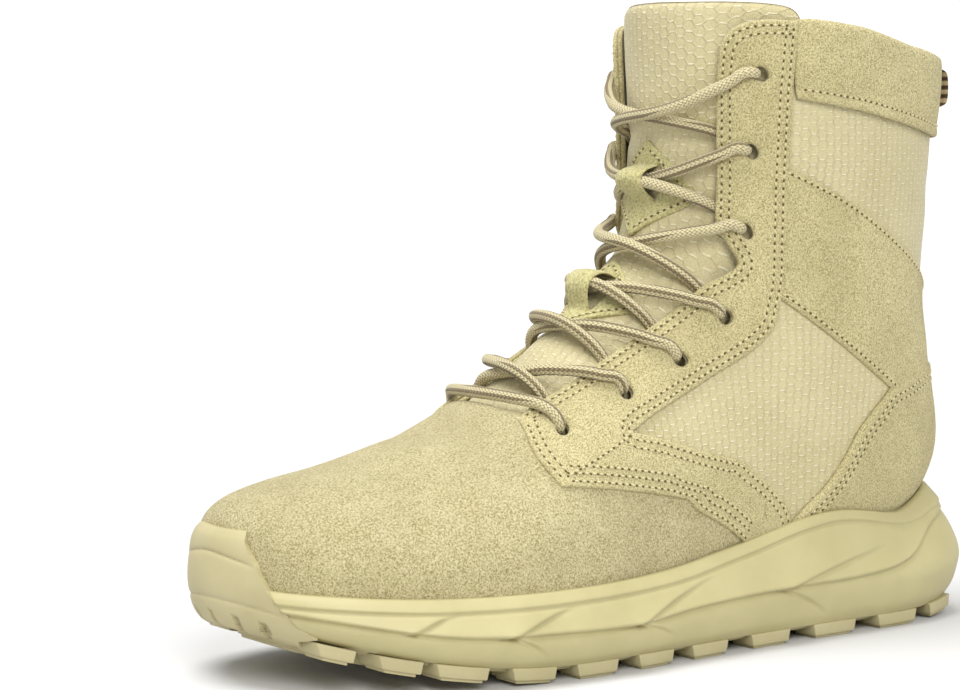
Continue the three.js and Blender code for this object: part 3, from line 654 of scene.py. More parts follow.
def hexagon_cloth(name, painted_highlight, light, middle, dark, cell_mm):
    """Coated ripstop cloth woven in six-sided cells: low ridges round each cell, a little darkened by painted
    shade and with a painted highlight dash on their level edges, and the ground between them is a fine plain
    weave."""
    material, tree = start_material(name)
    place = node(tree, "TexCoord").outputs["Object"]
    parts = node(tree, "SeparateXYZ", {"Vector": node(tree, "UVMap", uv_map="cloth").outputs["UV"]})
    turned = node(tree, "CombineXYZ", {"X": parts.outputs["Y"], "Y": parts.outputs["X"]}).outputs["Vector"]
    wobble = node(tree, "TexNoise", {"Vector": turned, "Scale": 0.05, "Detail": 2.0}).outputs["Color"]
    loose = node(tree, "VectorMath", {0: wobble, 1: (1.6, 1.6, 0)}, operation="MULTIPLY").outputs[0]
    drawn = node(tree, "VectorMath", {0: turned, 1: loose}, operation="ADD").outputs[0]
    cells = node(tree, "VectorMath", {0: drawn, "Scale": 1 / cell_mm}, operation="SCALE").outputs[0]
    half = (0.5, math.sqrt(3) / 2, 0.5)
    less = tuple(-h for h in half)
    first = node(tree, "VectorMath", {0: cells, 1: half, 2: less}, operation="WRAP").outputs[0]
    moved = node(tree, "VectorMath", {0: cells, 1: half}, operation="SUBTRACT").outputs[0]
    second = node(tree, "VectorMath", {0: moved, 1: half, 2: less}, operation="WRAP").outputs[0]
    flat_plane = (1, 1, 0)
    reach = []
    for cell in (first, second):
        level_cell = node(tree, "VectorMath", {0: cell, 1: flat_plane}, operation="MULTIPLY").outputs[0]
        size = node(tree, "VectorMath", {0: level_cell}, operation="LENGTH").outputs["Value"]
        positive = node(tree, "VectorMath", {0: level_cell}, operation="ABSOLUTE").outputs[0]
        slanted = node(tree, "VectorMath", {0: positive, 1: (0.5, math.sqrt(3) / 2, 0)},
                       operation="DOT_PRODUCT").outputs["Value"]
        straight = node(tree, "SeparateXYZ", {"Vector": positive}).outputs["X"]
        reach.append((size, maths(tree, "MAXIMUM", slanted, straight),
                      maths(tree, "SUBTRACT", straight, slanted)))
    closer = maths(tree, "LESS_THAN", reach[0][0], reach[1][0])
    edge = node(tree, "Mix", {0: closer, 2: reach[1][1], 3: reach[0][1]}, data_type="FLOAT").outputs[0]
    levelled = node(tree, "Mix", {0: closer, 2: reach[1][2], 3: reach[0][2]}, data_type="FLOAT").outputs[0]
    ridge = node(tree, "MapRange", {"Value": edge, "From Min": 0.38, "From Max": 0.47},
                 interpolation_type="SMOOTHSTEP").outputs["Result"]
    # painted highlight: a light dash on the level edges of the ridges, where light from above would catch
    # them
    highlight_dash = maths(tree, "MULTIPLY", ridge, spread(tree, levelled, 0.0, 0.06))
    weave = grain(tree, place, 0.45, 2, 0.6)
    patches = grain(tree, place, 30, 3, 0.5)
    worn = spread(tree, grain(tree, place, 5, 2, 0.6), 0.35, 0.6, 0.45, 1.0)
    raised = maths(tree, "MULTIPLY", ridge, worn)
    height = maths(tree, "ADD", raised, maths(tree, "MULTIPLY", weave, 0.3))
    ground = blend_colours(tree, spread(tree, weave, 0.35, 0.65), linear(dark), linear(middle))
    toned = blend_colours(tree, spread(tree, patches, 0.35, 0.65, 0.0, 0.35), ground, linear(light))
    # painted shade along the raised ridges, then the painted highlight of the dashes
    shaded = blend_colours(tree, maths(tree, "MULTIPLY", raised, 0.1), toned, linear(dark))
    colour = blend_colours(tree, maths(tree, "MULTIPLY", maths(tree, "MULTIPLY", highlight_dash, worn), 0.75), shaded,
                           linear(painted_highlight))
    finish_material(tree, colour, 0.62, height, 0.25, 1.0, Sheen_Weight=0.1, Specular_IOR_Level=0.4)
    return material


def moulded(name, light, dark, roughness, grain_mm, depth_mm):
    """Moulded foam or rubber: one even colour with a little tone from handling, and the fine matt grain of
    the steel mould."""
    material, tree = start_material(name)
    place = node(tree, "TexCoord").outputs["Object"]
    tone = spread(tree, grain(tree, place, 24, 4, 0.6), 0.35, 0.65)
    speck = grain(tree, place, grain_mm, 2, 0.5)
    colour = blend_colours(tree, tone, linear(dark), linear(light))
    finish = spread(tree, grain(tree, place, 6, 3, 0.6), 0.3, 0.7, roughness - 0.05, roughness + 0.07)
    finish_material(tree, colour, finish, speck, depth_mm, 0.6, Specular_IOR_Level=0.45)
    return material


def braid(name, light, dark, tracer):
    """Round polyester cord braided over a core: slanted strands pass over and under each other round one half
    of it, and darker strands run lengthwise round the other, which winds slowly about the cord. Drawn a
    little coarser than the real strands so that it shows."""
    material, tree = start_material(name)
    parts = node(tree, "SeparateXYZ", {"Vector": node(tree, "UVMap", uv_map="cord").outputs["UV"]})
    length, round_cord = parts.outputs["X"], parts.outputs["Y"]
    turn = maths(tree, "MULTIPLY", round_cord, 10.0)
    pace = maths(tree, "DIVIDE", length, 1.6)
    ways = [maths(tree, "ADD", pace, turn), maths(tree, "SUBTRACT", pace, turn)]
    floors = [maths(tree, "FLOOR", w) for w in ways]
    over = maths(tree, "PINGPONG", maths(tree, "ADD", floors[0], floors[1]), 1.0)
    crowns = []
    for way in ways:
        part = maths(tree, "SUBTRACT", maths(tree, "FRACT", way), 0.5)
        crowns.append(maths(tree, "SUBTRACT", 1.0, maths(tree, "POWER", maths(tree, "ABSOLUTE",
                      maths(tree, "MULTIPLY", part, 2.0)), 2.0)))
    height = node(tree, "Mix", {0: over, 2: crowns[0], 3: crowns[1]}, data_type="FLOAT").outputs[0]
    wound = maths(tree, "FRACT", maths(tree, "ADD", round_cord, maths(tree, "DIVIDE", length, 90.0)))
    striped = maths(tree, "LESS_THAN", wound, 0.5)
    stripe = maths(tree, "MULTIPLY", striped, spread(tree, maths(tree, "PINGPONG", turn, 1.0), 0.45, 0.6))
    # painted shade: the strands darken towards the hollows between their crowns
    strand = blend_colours(tree, spread(tree, height, 0.0, 0.7), linear(dark), linear(light))
    colour = blend_colours(tree, maths(tree, "MULTIPLY", stripe, 0.8), strand, linear(tracer))
    finish_material(tree, colour, 0.7, height, 0.4, 1.0, Sheen_Weight=0.2, Specular_IOR_Level=0.35)
    return material


def knit(name, light, dark, loop_mm):
    """Knitted lining: small even loops, soft and matt."""
    material, tree = start_material(name)
    place = node(tree, "TexCoord").outputs["Object"]
    loops = node(tree, "TexVoronoi", {"Vector": place, "Scale": 1 / (loop_mm * MM)}).outputs["Distance"]
    colour = blend_colours(tree, spread(tree, loops, 0.2, 0.7), linear(light), linear(dark))
    finish_material(tree, colour, 0.95, loops, 0.2, 0.5, Sheen_Weight=0.2, Specular_IOR_Level=0.2)
    return material


def striped_webbing(name, light, dark, rib_mm):
    """Woven tape with ribs across it, in two colours of yarn."""
    material, tree = start_material(name)
    parts = node(tree, "SeparateXYZ", {"Vector": node(tree, "TexCoord").outputs["Object"]})
    rib = maths(tree, "PINGPONG", maths(tree, "MULTIPLY", parts.outputs["Z"], 1 / (rib_mm * MM)), 1.0)
    yarn = maths(tree, "PINGPONG", maths(tree, "MULTIPLY", parts.outputs["Y"], 1 / (0.8 * MM)), 1.0)
    colour = blend_colours(tree, spread(tree, rib, 0.35, 0.65), linear(dark), linear(light))
    height = maths(tree, "ADD", rib, maths(tree, "MULTIPLY", yarn, 0.5))
    finish_material(tree, colour, 0.85, height, 0.25, 0.8, Specular_IOR_Level=0.3)
    return material


def plain_finish(name, colour, roughness, tone, grain_mm, depth_mm, metallic=0.0):
    """Thread, needle hole, zip tape or plated metal: one colour with a slight change of tone."""
    material, tree = start_material(name)
    place = node(tree, "TexCoord").outputs["Object"]
    speck = grain(tree, place, grain_mm, 2, 0.6)
    shade = blend_colours(tree, spread(tree, speck, 0.3, 0.7), linear(tone), linear(colour))
    finish_material(tree, shade, roughness, speck, depth_mm, 0.5, Metallic=metallic)
    return material


VAMP_SUEDE = suede("suede_split_leather_coarse", "#dcd2a9", "#c5b98a", "#928659", 0.62, 1.15)
SUEDE = suede("suede_split_leather_fine", "#e5daa9", "#cec28f", "#978b5d", 0.55, 1.0)
KEEPER_SUEDE = suede("suede_split_leather_greenish", "#cbc694", "#bdb681", "#938a5c", 0.9, 0.4)
# the first colour is the painted highlight on the level edges of the ridges
CLOTH = hexagon_cloth("polyester_ripstop_hexagon_weave", "#e3ddbd", "#d1c7a0", "#c5bb92", "#aca075", 3.6)
LINING = knit("polyester_knit_lining", "#ab9d76", "#7f7454", 0.9)
FOAM = moulded("eva_foam_moulded_skin", "#b6ad80", "#aea578", 0.5, 0.5, 0.03)
RUBBER = moulded("rubber_moulded_matt", "#b6ac84", "#ada37a", 0.6, 0.35, 0.05)
# the second colour is the painted shade in the hollows between strands
CORD = braid("polyester_cord_braided", "#d0c499", "#715f3c", "#645130")
THREAD = plain_finish("polyester_thread_bonded", "#d2c79e", 0.6, "#baaf80", 0.4, 0.05)
# painted shade: dark beads on the leather stand for the shade inside each needle hole
NEEDLE_HOLE_SHADE = plain_finish("needle_hole_shadow", "#6b5d38", 0.95, "#4d4228", 0.5, 0.02)
WEBBING = striped_webbing("polyester_webbing_striped", "#b9a47f", "#4a3a27", 1.6)
ZIP_TAPE = plain_finish("polyester_zip_tape_woven", "#211f1c", 0.85, "#151412", 0.4, 0.1)
ZIP_METAL = plain_finish("zinc_alloy_nickel_plated", "#c9c8c4", 0.3, "#b4b3ae", 2.0, 0.01, 1.0)


# ---------- stitches ----------
def stitch_model(length, width, height):
    """A small faceted bead, for a stitch or a needle hole."""
    pick_none()
    bpy.ops.mesh.primitive_uv_sphere_add(segments=6, ring_count=4, radius=0.5)
    ball = bpy.context.object
    ball.scale = (length * MM, width * MM, height * MM)
    bpy.ops.object.transform_apply(scale=True)
    return shape_of(ball)


THREAD_MODEL = stitch_model(*STITCH_SIZE)
HOLE_MODEL = stitch_model(*HOLE_SIZE)


def surface_of(pieces):
    """The finished surface of some pieces, to be met by a ray."""
    points, faces = [], []
    for piece in pieces:
        start = len(points)
        points += [v.co.copy() for v in piece.data.vertices]
        faces += [[i + start for i in p.vertices] for p in piece.data.polygons]
    return BVHTree.FromPolygons(points, faces)


def seam_frames(line, out, surface=None):
    """Frames along a line on the leather: x along it, z out of it. With a surface, each frame is let down
    onto it, and is left out where it misses."""
    u, q = line[:, 0], line[:, 1]
    solid = off_last(u, q, out if surface is None else LET_DOWN_FROM)
    run = np.gradient(solid, axis=0)
    run /= np.linalg.norm(run, axis=1, keepdims=True)
    normal = last_frame(u, q)[2]
    across = np.cross(normal, run)
    up = np.cross(run, across)
    places = to_frame(solid)
    frames = []
    for k in range(len(line)):
        place = places[k]
        if surface is not None:
            hit = surface.ray_cast(Vector(place), Vector(-normal[k]), 2 * LET_DOWN_FROM * MM)[0]
            place = None if hit is None else np.array(hit) + normal[k] * out * MM
        frames.append(None if place is None else (run[k], across[k], up[k], place))
    return frames


def sew(name, rows, pieces):
    """Rows of stitches along lines on finished pieces, the thread sunk between its needle holes."""
    surface = surface_of(pieces)
    threads, pricks = [], []
    for row in rows:
        line = smooth(row, STITCH_PITCH / 2)
        threads += [f for f in seam_frames(line, THREAD_OUT, surface)[1:-1:2] if f]
        # dark beads of painted shade at the needle holes
        pricks += [f for f in seam_frames(line, HOLE_OUT, surface)[::2] if f]
    thread, thread_faces = placed(THREAD_MODEL, threads)
    prick, prick_faces = placed(HOLE_MODEL, pricks)
    every = thread_faces + [tuple(k + len(thread) for k in face) for face in prick_faces]
    slots = [0] * len(thread_faces) + [1] * len(prick_faces)
    piece = make_mesh(name, np.concatenate([thread, prick]), every, [THREAD, NEEDLE_HOLE_SHADE], slots)
    finish_piece(piece, "suede")


def beside(points, distances):
    """Rows beside an edge: the edge line moved over the leather by each distance."""
    return [aside(smooth(points), d)[3:-3] for d in distances]


# ---------- upper ----------
THROAT_EDGE = [(6.45, 0.155), (6.75, 0.15), (7.7, 0.18), (8.89, 0.205), (10.19, 0.232), (10.72, 0.262),
               (11.02, 0.274), (11.28, 0.238), (11.5, 0.215), (12.84, 0.205), (14.14, 0.2), (15.0, 0.206)]
TOP_CORNER = [(15.0, 0.206), (15.3, 0.216), (15.53, 0.24), (15.66, 0.275), (15.72, 0.315), (15.745, 0.372)]
STAY_BACK = [(15.745, 0.372), (14.44, 0.36), (13.2, 0.36), (11.04, 0.365), (10.39, 0.375), (9.39, 0.355),
             (8.4, 0.342), (7.8, 0.34)]
WING_TOP = [(7.8, 0.34), (8.1, 0.385), (8.44, 0.44), (8.84, 0.505), (8.95, 0.57), (8.89, 0.64), (8.8, 0.72)]
VAMP_SEAM = [(8.3, 0.72), (8.39, 0.635), (8.24, 0.54), (7.95, 0.49), (7.2, 0.41), (6.4, 0.34)]
STAY_FRONT = [(6.4, 0.34), (6.28, 0.25), (6.45, 0.155)]
BAND_TOP = [(13.21, 0.34), (13.19, 0.36), (13.14, 0.49), (12.99, 0.615), (12.85, 0.8), (12.75, 1.0)]
BAND_LOW = [(11.3, 1.0), (11.15, 0.8), (10.99, 0.6), (10.94, 0.46), (10.89, 0.34)]


def pairs(planes, places):
    """Rows of u and q."""
    return [(float(u), float(q)) for u, q in zip(planes, places)]


def over_back(line):
    """A line of the lateral side carried over the back seam to the medial side."""
    return [(u, 2 - q) for u, q in line]


def turned(line, side):
    """A line on its own side: 1 lateral, -1 medial."""
    return [(u, side * q) for u, q in line]


# Plane on which the back seam meets the footbed
HEEL_PLANE = float(level([1.0], [(x, z + 1.5) for x, z in FOOTBED], 9.4)[0])


def quarter(side):
    """Cloth and lining of one side, from the throat to the back seam."""
    name = "lateral" if side > 0 else "medial"
    round_q = np.linspace(0.372, 1.0, 10)
    top = TOP_CORNER[-1:] + pairs(level(round_q[1:], TOP_LINE), round_q[1:])
    planes = np.concatenate([[HEEL_PLANE], np.linspace(10.2, 6.45, 12)])
    low = [(HEEL_PLANE, 1.0)] + pairs(planes[1:], waterline(planes[1:], 1))
    legs = [[(6.45, 0.09), (6.6, 0.125)] + THROAT_EDGE[1:], TOP_CORNER, top,
            [top[-1], (HEEL_PLANE, 1.0)], low, [low[-1], (6.45, 0.09)]]
    cloth = CLOTH if side > 0 else SUEDE
    piece = cut_and_last(f"quarter_{name}", [turned(leg, side) for leg in legs], -WALL, FABRIC_OUT,
                         [cloth, LINING], [(u, side * v) for u, v in EYELETS], radius=0.4)
    if side > 0:
        finish_piece(piece, "fabric", "upper")
    else:
        finish_piece(piece, "suede")


def vamp():
    """Suede over the toes and the ball, with its seam under the wings."""
    back = [(6.40, 0.0), (6.43, 0.06), (6.47, 0.1), (6.5, 0.2), (6.6, 0.28), (7.0, 0.36), (7.6, 0.42),
            (8.15, 0.49), (8.5, 0.57), (8.6, 0.72)]
    planes = np.linspace(8.6, 0.03, 24)
    lateral, medial = (pairs(planes, waterline(planes, side)) for side in (1, -1))
    seam = back[:-1] + [lateral[0]]
    legs = [seam, lateral, [lateral[-1], (0.03, 0.0), medial[-1]], medial[::-1], turned(seam[::-1], -1)]
    piece = cut_and_last("vamp", legs, -1.7, VAMP_OUT, [VAMP_SUEDE, LINING], radius=0.5)
    finish_piece(piece, "suede")


def seam_hollow(u, q, from_edge):
    """The leather is drawn in along its two rows of stitches and swells either side of them."""
    return 0.3 * np.exp(-((from_edge - 8) / 3) ** 2) - 0.25 * np.exp(-((from_edge - 3.2) / 2.2) ** 2)


def eyestay(side):
    """Eyestay and wing of one side, with its punched holes."""
    name = "lateral" if side > 0 else "medial"
    legs = [THROAT_EDGE, TOP_CORNER, STAY_BACK, WING_TOP, [WING_TOP[-1], VAMP_SEAM[0]], VAMP_SEAM, STAY_FRONT]
    piece = cut_and_last(f"eyestay_{name}", [turned(leg, side) for leg in legs], FABRIC_OUT, STAY_OUT,
                         [SUEDE], [(u, side * v) for u, v in EYELETS], radius=0.8, shape=seam_hollow)
    finish_piece(piece, "suede")
    first, second = ROW_INSET, ROW_INSET + ROW_GAP
    edge = turned(THROAT_EDGE[:-1] + TOP_CORNER, side)
    rows = beside(edge, [-first * side, -second * side])
    rows += beside(turned(STAY_BACK + WING_TOP[1:], side), [-first * side, -second * side])
    rows += beside(turned(VAMP_SEAM[1:], side), [-first * side, -second * side, -(second + 2.4) * side])
    rows += beside(turned(STAY_FRONT, side), [-first * side, -second * side])
    rows.append(smooth(turned([(6.55, 0.33), (7.0, 0.335), (7.7, 0.342)], side)))
    sew(f"eyestay_stitches_{name}", rows, [piece])


def on_line(line, q):
    """Plane of a line of planes and places, at a place."""
    return float(along([(v, u) for u, v in line], q))


def ankle_band(name, start, end, side):
    """Part of the ankle band between two places round the shaft."""
    round_q = [start, *sorted(q for _, q in BAND_TOP if start < q < end), end]
    top = [(on_line(BAND_TOP, q), q) for q in round_q]
    low = [(on_line(BAND_LOW, q), q) for q in round_q[::-1]]
    legs = [top, [top[-1], low[0]], low, [low[-1], top[0]]]
    piece = cut_and_last(name, [turned(leg, side) for leg in legs], FABRIC_OUT, BAND_OUT, [SUEDE], radius=0.8)
    finish_piece(piece, "suede")
    rows = beside(turned(top, side), [-1.5 * side]) + beside(turned(low, side), [-1.9 * side])
    sew(name + "_stitches", rows, [piece])


def rolled_edge(u, q, from_edge):
    """Raised roll along the edge of the heel counter."""
    return 0.45 * np.exp(-((from_edge - 1.4) / 1.0) ** 2)


def heel_counter():
    """Suede overlay round the heel, in one piece over the back seam."""
    planes = np.linspace(8.75, HEEL_PLANE, 7)
    low = pairs(planes[:-1], waterline(planes[:-1], 1)) + [(HEEL_PLANE, 1.0)]
    front = [low[0], (8.94, 0.63), (9.5, 0.592), (10.14, 0.572), (10.6, 0.577), (10.99, 0.595)]
    round_q = np.linspace(0.595, 1.0, 8)
    top = front[-1:] + pairs(level(round_q[1:], COUNTER_LINE, 10.0), round_q[1:])
    over = over_back(top[::-1])
    legs = [front, top + over[1:], over_back(front[::-1]), over_back(low) + low[::-1][1:]]
    piece = cut_and_last("heel_counter_suede", legs, FABRIC_OUT, 1.5, [SUEDE], radius=0.9, shape=rolled_edge)
    finish_piece(piece, "suede", "heel_counter")
    edge = front + top[1:] + over[1:] + over_back(front[::-1])[1:]
    sew("heel_counter_stitches", beside(edge, [-3.4, -6.0]), [piece])


# Cross section of the padded collar: share of the way from its lower edge to the top line, height
COLLAR_OUTER = [(0.0, 0.2), (-0.01, 1.5), (0.01, 2.3), (0.05, 2.6), (0.10, 2.15), (0.15, 1.95), (0.22, 2.3),
                (0.35, 2.6), (0.55, 2.8), (0.75, 2.8), (0.9, 2.7), (0.98, 2.4)]
# then over the top: height above the top line, distance out
COLLAR_OVER = [(0.9, 1.9), (1.4, 0.9), (1.6, -0.4), (1.4, -1.8), (0.8, -3.0), (-0.6, -3.7), (-5, -4.0),
               (-11, -3.8), (-16, -3.0), (-16.4, -2.2), (-10, -2.1), (-3, -2.1), (-0.1, -2.05), (0.2, -1.0),
               (0.1, 0.1)]


def collar_band():
    """Padded suede band round the top, rolled over the edge to the inside."""
    start, end = 0.363, 2 - 0.363
    rings = []
    stations = np.linspace(start, end, 120)
    high = level(stations, TOP_LINE)
    low = level(stations, BAND_LINE)
    for q, u1, u0 in zip(stations, high, low):
        ease = min(q - start, end - q) / 0.09
        ease = 0.42 + 0.58 * (1 - (1 - min(ease, 1)) ** 2)
        ease *= 1 - 0.45 * np.exp(-((q - 1) / 0.16) ** 2)
        u = np.array([u0 + (u1 - u0) * s for s, _ in COLLAR_OUTER])
        out = np.array([o for _, o in COLLAR_OUTER]) * ease
        outer = off_last(u, np.full(len(u), q), out)
        step_u, _, normal = last_frame(np.array([u1]), np.array([q]))
        up = step_u[0] / np.linalg.norm(step_u[0])
        top = on_last(u1, q)
        over = [top + up * h * ease + normal[0] * (o * ease if o > 0 else o)
                for h, o in COLLAR_OVER]
        rings.append(np.concatenate([outer, over]))
    count, n = len(rings), len(rings[0])
    faces = ring_faces(count, n) + end_caps(count, n)
    piece = make_mesh("collar_band_padded", to_frame(np.concatenate(rings)), faces, [SUEDE])
    face_out(piece)
    apply_modifier(piece, "SUBSURF", levels=1, render_levels=1)
    finish_piece(piece, "suede", "collar_band")
    q = np.linspace(0.385, 2 - 0.385, 160)
    lows, highs = level(q, BAND_LINE), level(q, TOP_LINE)
    rows = [np.stack([lows + 0.135 * (highs - lows), q], -1)]
    medial = q > 1.12
    rows.append(np.stack([lows + 0.2 * (highs - lows), q], -1)[medial])
    for place in (1.43, 1.45):
        low, high = level([place], BAND_LINE)[0], level([place], TOP_LINE)[0]
        rows.append(np.array([(low + share * (high - low), place) for share in (0.22, 0.5, 0.92)]))
    sew("collar_band_stitches", rows, [piece])


def ridge_length(u):
    """Distance up the middle of the throat."""
    steps = np.linspace(0, TOP_PLANE, 400)
    line = on_last(steps, 0.0)
    travel = travelled(line)
    return np.interp(u, steps, travel)


def tongue_folds(u, q, from_edge):
    """Pad rounded to its sides, with soft folds where the lace pulls it in."""
    pad = 1.5 * (1 - np.exp(-from_edge / 9))
    folds = sum(depth * np.exp(-((u - centre - 3.0 * q ** 2) / width) ** 2)
                for centre, width, depth in ((13.15, 0.22, -1.2), (12.2, 0.3, 0.6), (10.45, 0.28, -1.3),
                                             (9.7, 0.3, 0.5), (8.55, 0.2, -0.9), (7.6, 0.2, -0.7)))
    return pad + folds


def tongue():
    """Padded tongue, cut whole, wider on the lateral side."""
    lateral = [(6.05, 0.12), (6.6, 0.22), (8, 0.28), (10, 0.31), (12, 0.34), (14, 0.375), (15.2, 0.395)]
    medial = [(6.05, -0.12), (6.6, -0.22), (8, -0.28), (10, -0.3), (12, -0.305), (14, -0.3), (15.2, -0.295)]
    top = [(15.2, 0.395), (15.4, 0.395), (15.75, 0.392), (15.93, 0.37), (15.97, 0.32), (15.95, 0.24),
           (15.9, 0.12), (15.88, 0.0), (15.85, -0.12), (15.72, -0.255), (15.55, -0.285), (15.2, -0.295)]
    legs = [lateral, top, medial[::-1], [medial[0], lateral[0]]]
    return cut_and_last("tongue_padded", legs, -7.4, -4.3, [CLOTH], radius=2.0, grid=2.6,
                        shape=tongue_folds, creased=False, under_rounded=True)


def finish_tongue(piece):
    """Lays the tongue's cloth straight up its length."""
    points = np.array([tuple(v.co) for v in piece.data.vertices])
    local = (points - LAST_ORIGIN) / MM
    planes = np.linspace(0, TOP_PLANE, 400)
    line = on_last(planes, 0.0)
    length = ridge_length(planes)
    order = np.argmin(np.linalg.norm(local[:, None, [0, 2]] - line[None, :, [0, 2]], axis=2), axis=1)
    corners = np.zeros(len(piece.data.loops), np.int32)
    piece.data.loops.foreach_get("vertex_index", corners)
    uv = np.stack([local[:, 1], length[order]], -1).astype(np.float32)
    piece.data.uv_layers["cloth"].data.foreach_set("uv", uv[corners].ravel())
    finish_piece(piece, "fabric", "tongue")


def keeper(name, middle, half, width, crossing, node_name):
    """Suede diamond sewn to the tongue. Two slits free the strip in its middle, which bridges the lace."""
    slit, reach, gap = 0.047, 0.38, 0.006

    def bridge(u, q, from_edge):
        strip = np.abs(q) < slit
        return KEEPER_RISE * strip * np.clip(1 - ((u - crossing) / reach) ** 2, 0, 1) ** 0.6

    top, low = (middle + half, 0.0), (middle - half, 0.0)
    right, left = (middle, width), (middle, -width)
    above, below, bulge = middle + 0.25 * half, middle - 0.25 * half, 0.86 * width
    legs = [[low, (below, bulge), right], [right, (above, bulge), top],
            [top, (above, -bulge), left], [left, (below, -bulge), low]]
    turn = np.linspace(0, 2 * np.pi, 36, endpoint=False)
    slits = [np.stack([crossing + (reach + 0.03) * np.sin(turn), side * slit + gap * np.cos(turn)], -1)
             for side in (1, -1)]
    piece = cut_and_last(name, legs, KEEPER_OUT - KEEPER_WALL, KEEPER_OUT, [KEEPER_SUEDE], slits, radius=0.6,
                         grid=1.3, shape=bridge, creased=False, lifted=True)
    finish_piece(piece, "suede", node_name)
    rows = [aside(smooth(leg), 2.0)[3:-3] for leg in legs]
    sew(name + "_stitches", rows, [piece])


# ---------- lace ----------
# Route over the throat, from under one edge to the eyelet above on the other side: share of the throat's
# half width, share of the climb, height of the upper and of the lower of the two strands
CROSSING = [(0.98, -0.02, -2.6, -2.6), (0.78, 0.0, 0.4, -0.6), (0.5, 0.01, 2.6, 0.0), (0.25, 0.03, 3.4, -0.3),
            (0.0, 0.07, 3.6, -0.4), (-0.3, 0.16, 3.7, 0.7), (-0.6, 0.35, 3.7, 2.5), (-0.95, 0.68, 3.3, 3.3),
            (-1.15, 0.88, 3.2, 3.2)]
CROSSING_START = 0.2
STAY_SHARE = 1.4               # an eyelet lies this many half widths of the throat from the middle
# Down into an eyelet: share of its distance from the middle, height
INTO_EYELET = ((0.87, 3.5), (0.945, 2.4), (0.965, 0.6), (0.965, -1.5), (0.94, -3.6))


def strand(index, side, upper):
    """One run of lace from under the edge at the lower eyelet to the eyelet above on the other side."""
    top_u, top_v = EYELETS[index]
    low_u, low_v = EYELETS[index + 1]
    start = low_u + CROSSING_START
    points = [off_last(low_u + 0.05, side * (low_v * 0.6 + along(THROAT, low_u) * 0.4), -4.4)]
    for share, climb, high, low in CROSSING:
        u = start + (top_u - start) * climb
        reach = along(THROAT, u) if share > 0 else top_v / STAY_SHARE
        points.append(off_last(u, side * share * reach, high if upper else low))
    points += [off_last(top_u, -side * top_v * share, out) for share, out in INTO_EYELET]
    return points


def half_lace(side):
    """One end of the lace, from the middle of the bottom bar up to its top eyelet."""
    low_u, low_v = EYELETS[-1]
    points = [off_last(low_u - 0.4 * (1 - s ** 2), side * s * low_v * 0.8, out)
              for s, out in ((0.0, 2.6), (0.3, 2.8), (0.62, 3.4), (0.9, 4.0))]
    points += [off_last(low_u, side * low_v * share, out) for share, out in INTO_EYELET]
    for index in range(len(EYELETS) - 2, -1, -1):
        medial_over = index == 0
        points += strand(index, side, (side < 0) == medial_over)
        side = -side
    return points


def swept_cord(name, points, radius, sides, step, look):
    """A round cord along a route, with its length and its turn as a map."""
    points = np.array([np.asarray(p, float).reshape(3) for p in points])
    gaps = np.linalg.norm(np.diff(points, axis=0), axis=1)
    points = points[np.concatenate([[True], gaps > 0.6])]
    fine = catmull(points, np.linspace(0, len(points) - 1, len(points) * 24))
    for _ in range(2):
        travel = travelled(fine)
        count = int(travel[-1] / step)
        wanted = np.linspace(0, travel[-1], count)
        fine = np.stack([np.interp(wanted, travel, fine[:, k]) for k in range(3)], -1)
        for _ in range(3):
            fine[1:-1] = (fine[:-2] + 2 * fine[1:-1] + fine[2:]) / 4
    run = np.gradient(fine, axis=0)
    run /= np.linalg.norm(run, axis=1, keepdims=True)
    across = np.cross(run[0], (0, 0, 1.0))
    across /= np.linalg.norm(across)
    rings, turn = [], np.linspace(0, 2 * np.pi, sides, endpoint=False)
    for p, t in zip(fine, run):
        across = across - t * (across @ t)
        across /= np.linalg.norm(across)
        up = np.cross(t, across)
        rings.append(p + radius * (np.cos(turn)[:, None] * across + np.sin(turn)[:, None] * up))
    n, count = sides, len(rings)
    faces = ring_faces(count, n) + end_caps(count, n)
    piece = make_mesh(name, to_frame(np.concatenate(rings)), faces, [look])
    layer = piece.data.uv_layers.new(name="cord")
    uv = []
    for r in range(count - 1):
        here, there = r * step, (r + 1) * step
        for k in range(n):
            near, far = k / n, (k + 1) / n
            uv += [(here, near), (here, far), (there, far), (there, near)]
    uv += [(0.0, 0.0)] * (2 * n)
    layer.data.foreach_set("uv", np.asarray(uv, np.float32).ravel())
    return piece, travel[-1]


def lace():
    """One cord through all the eyelets. Both ends stop behind the top ones."""
    route = half_lace(1)[::-1] + half_lace(-1)[1:]
    piece, length = swept_cord("lace_cord", route, LACE_RADIUS, 14, 1.0, CORD)
    nodes = ["lace_bar"] + [f"lace_crossing_{i + 1}" for i in range(len(EYELETS) - 1)]
    print("lace length mm", round(float(length)))
    finish_piece(piece, "lace", *nodes)


# ---------- sole ----------
def lift(x):
    """Height of the tread's bottom above the floor."""
    toe, toe_from, toe_run = TOE_SPRING
    heel, heel_from, heel_run = HEEL_SPRING
    at_toe = toe * (np.maximum(x - toe_from, 0) / toe_run) ** 2
    at_heel = heel * (np.maximum(heel_from - x, 0) / heel_run) ** 2
    return at_toe + at_heel


def outline_points(count):
    """Outline of the sole, evenly spaced, with its outward direction."""
    ring = np.concatenate([OUTLINE[-2:], OUTLINE, OUTLINE[:3]])
    fine = catmull(ring, np.linspace(2, len(OUTLINE) + 2, 3000))
    travel = travelled(fine)
    wanted = np.linspace(0, travel[-1], count, endpoint=False)
    points = np.stack([np.interp(wanted, travel, fine[:, k]) for k in (0, 1)], -1)
    run = np.roll(points, -1, 0) - np.roll(points, 1, 0)
    run /= np.linalg.norm(run, axis=1, keepdims=True)
    return points, np.stack([-run[:, 1], run[:, 0]], -1)


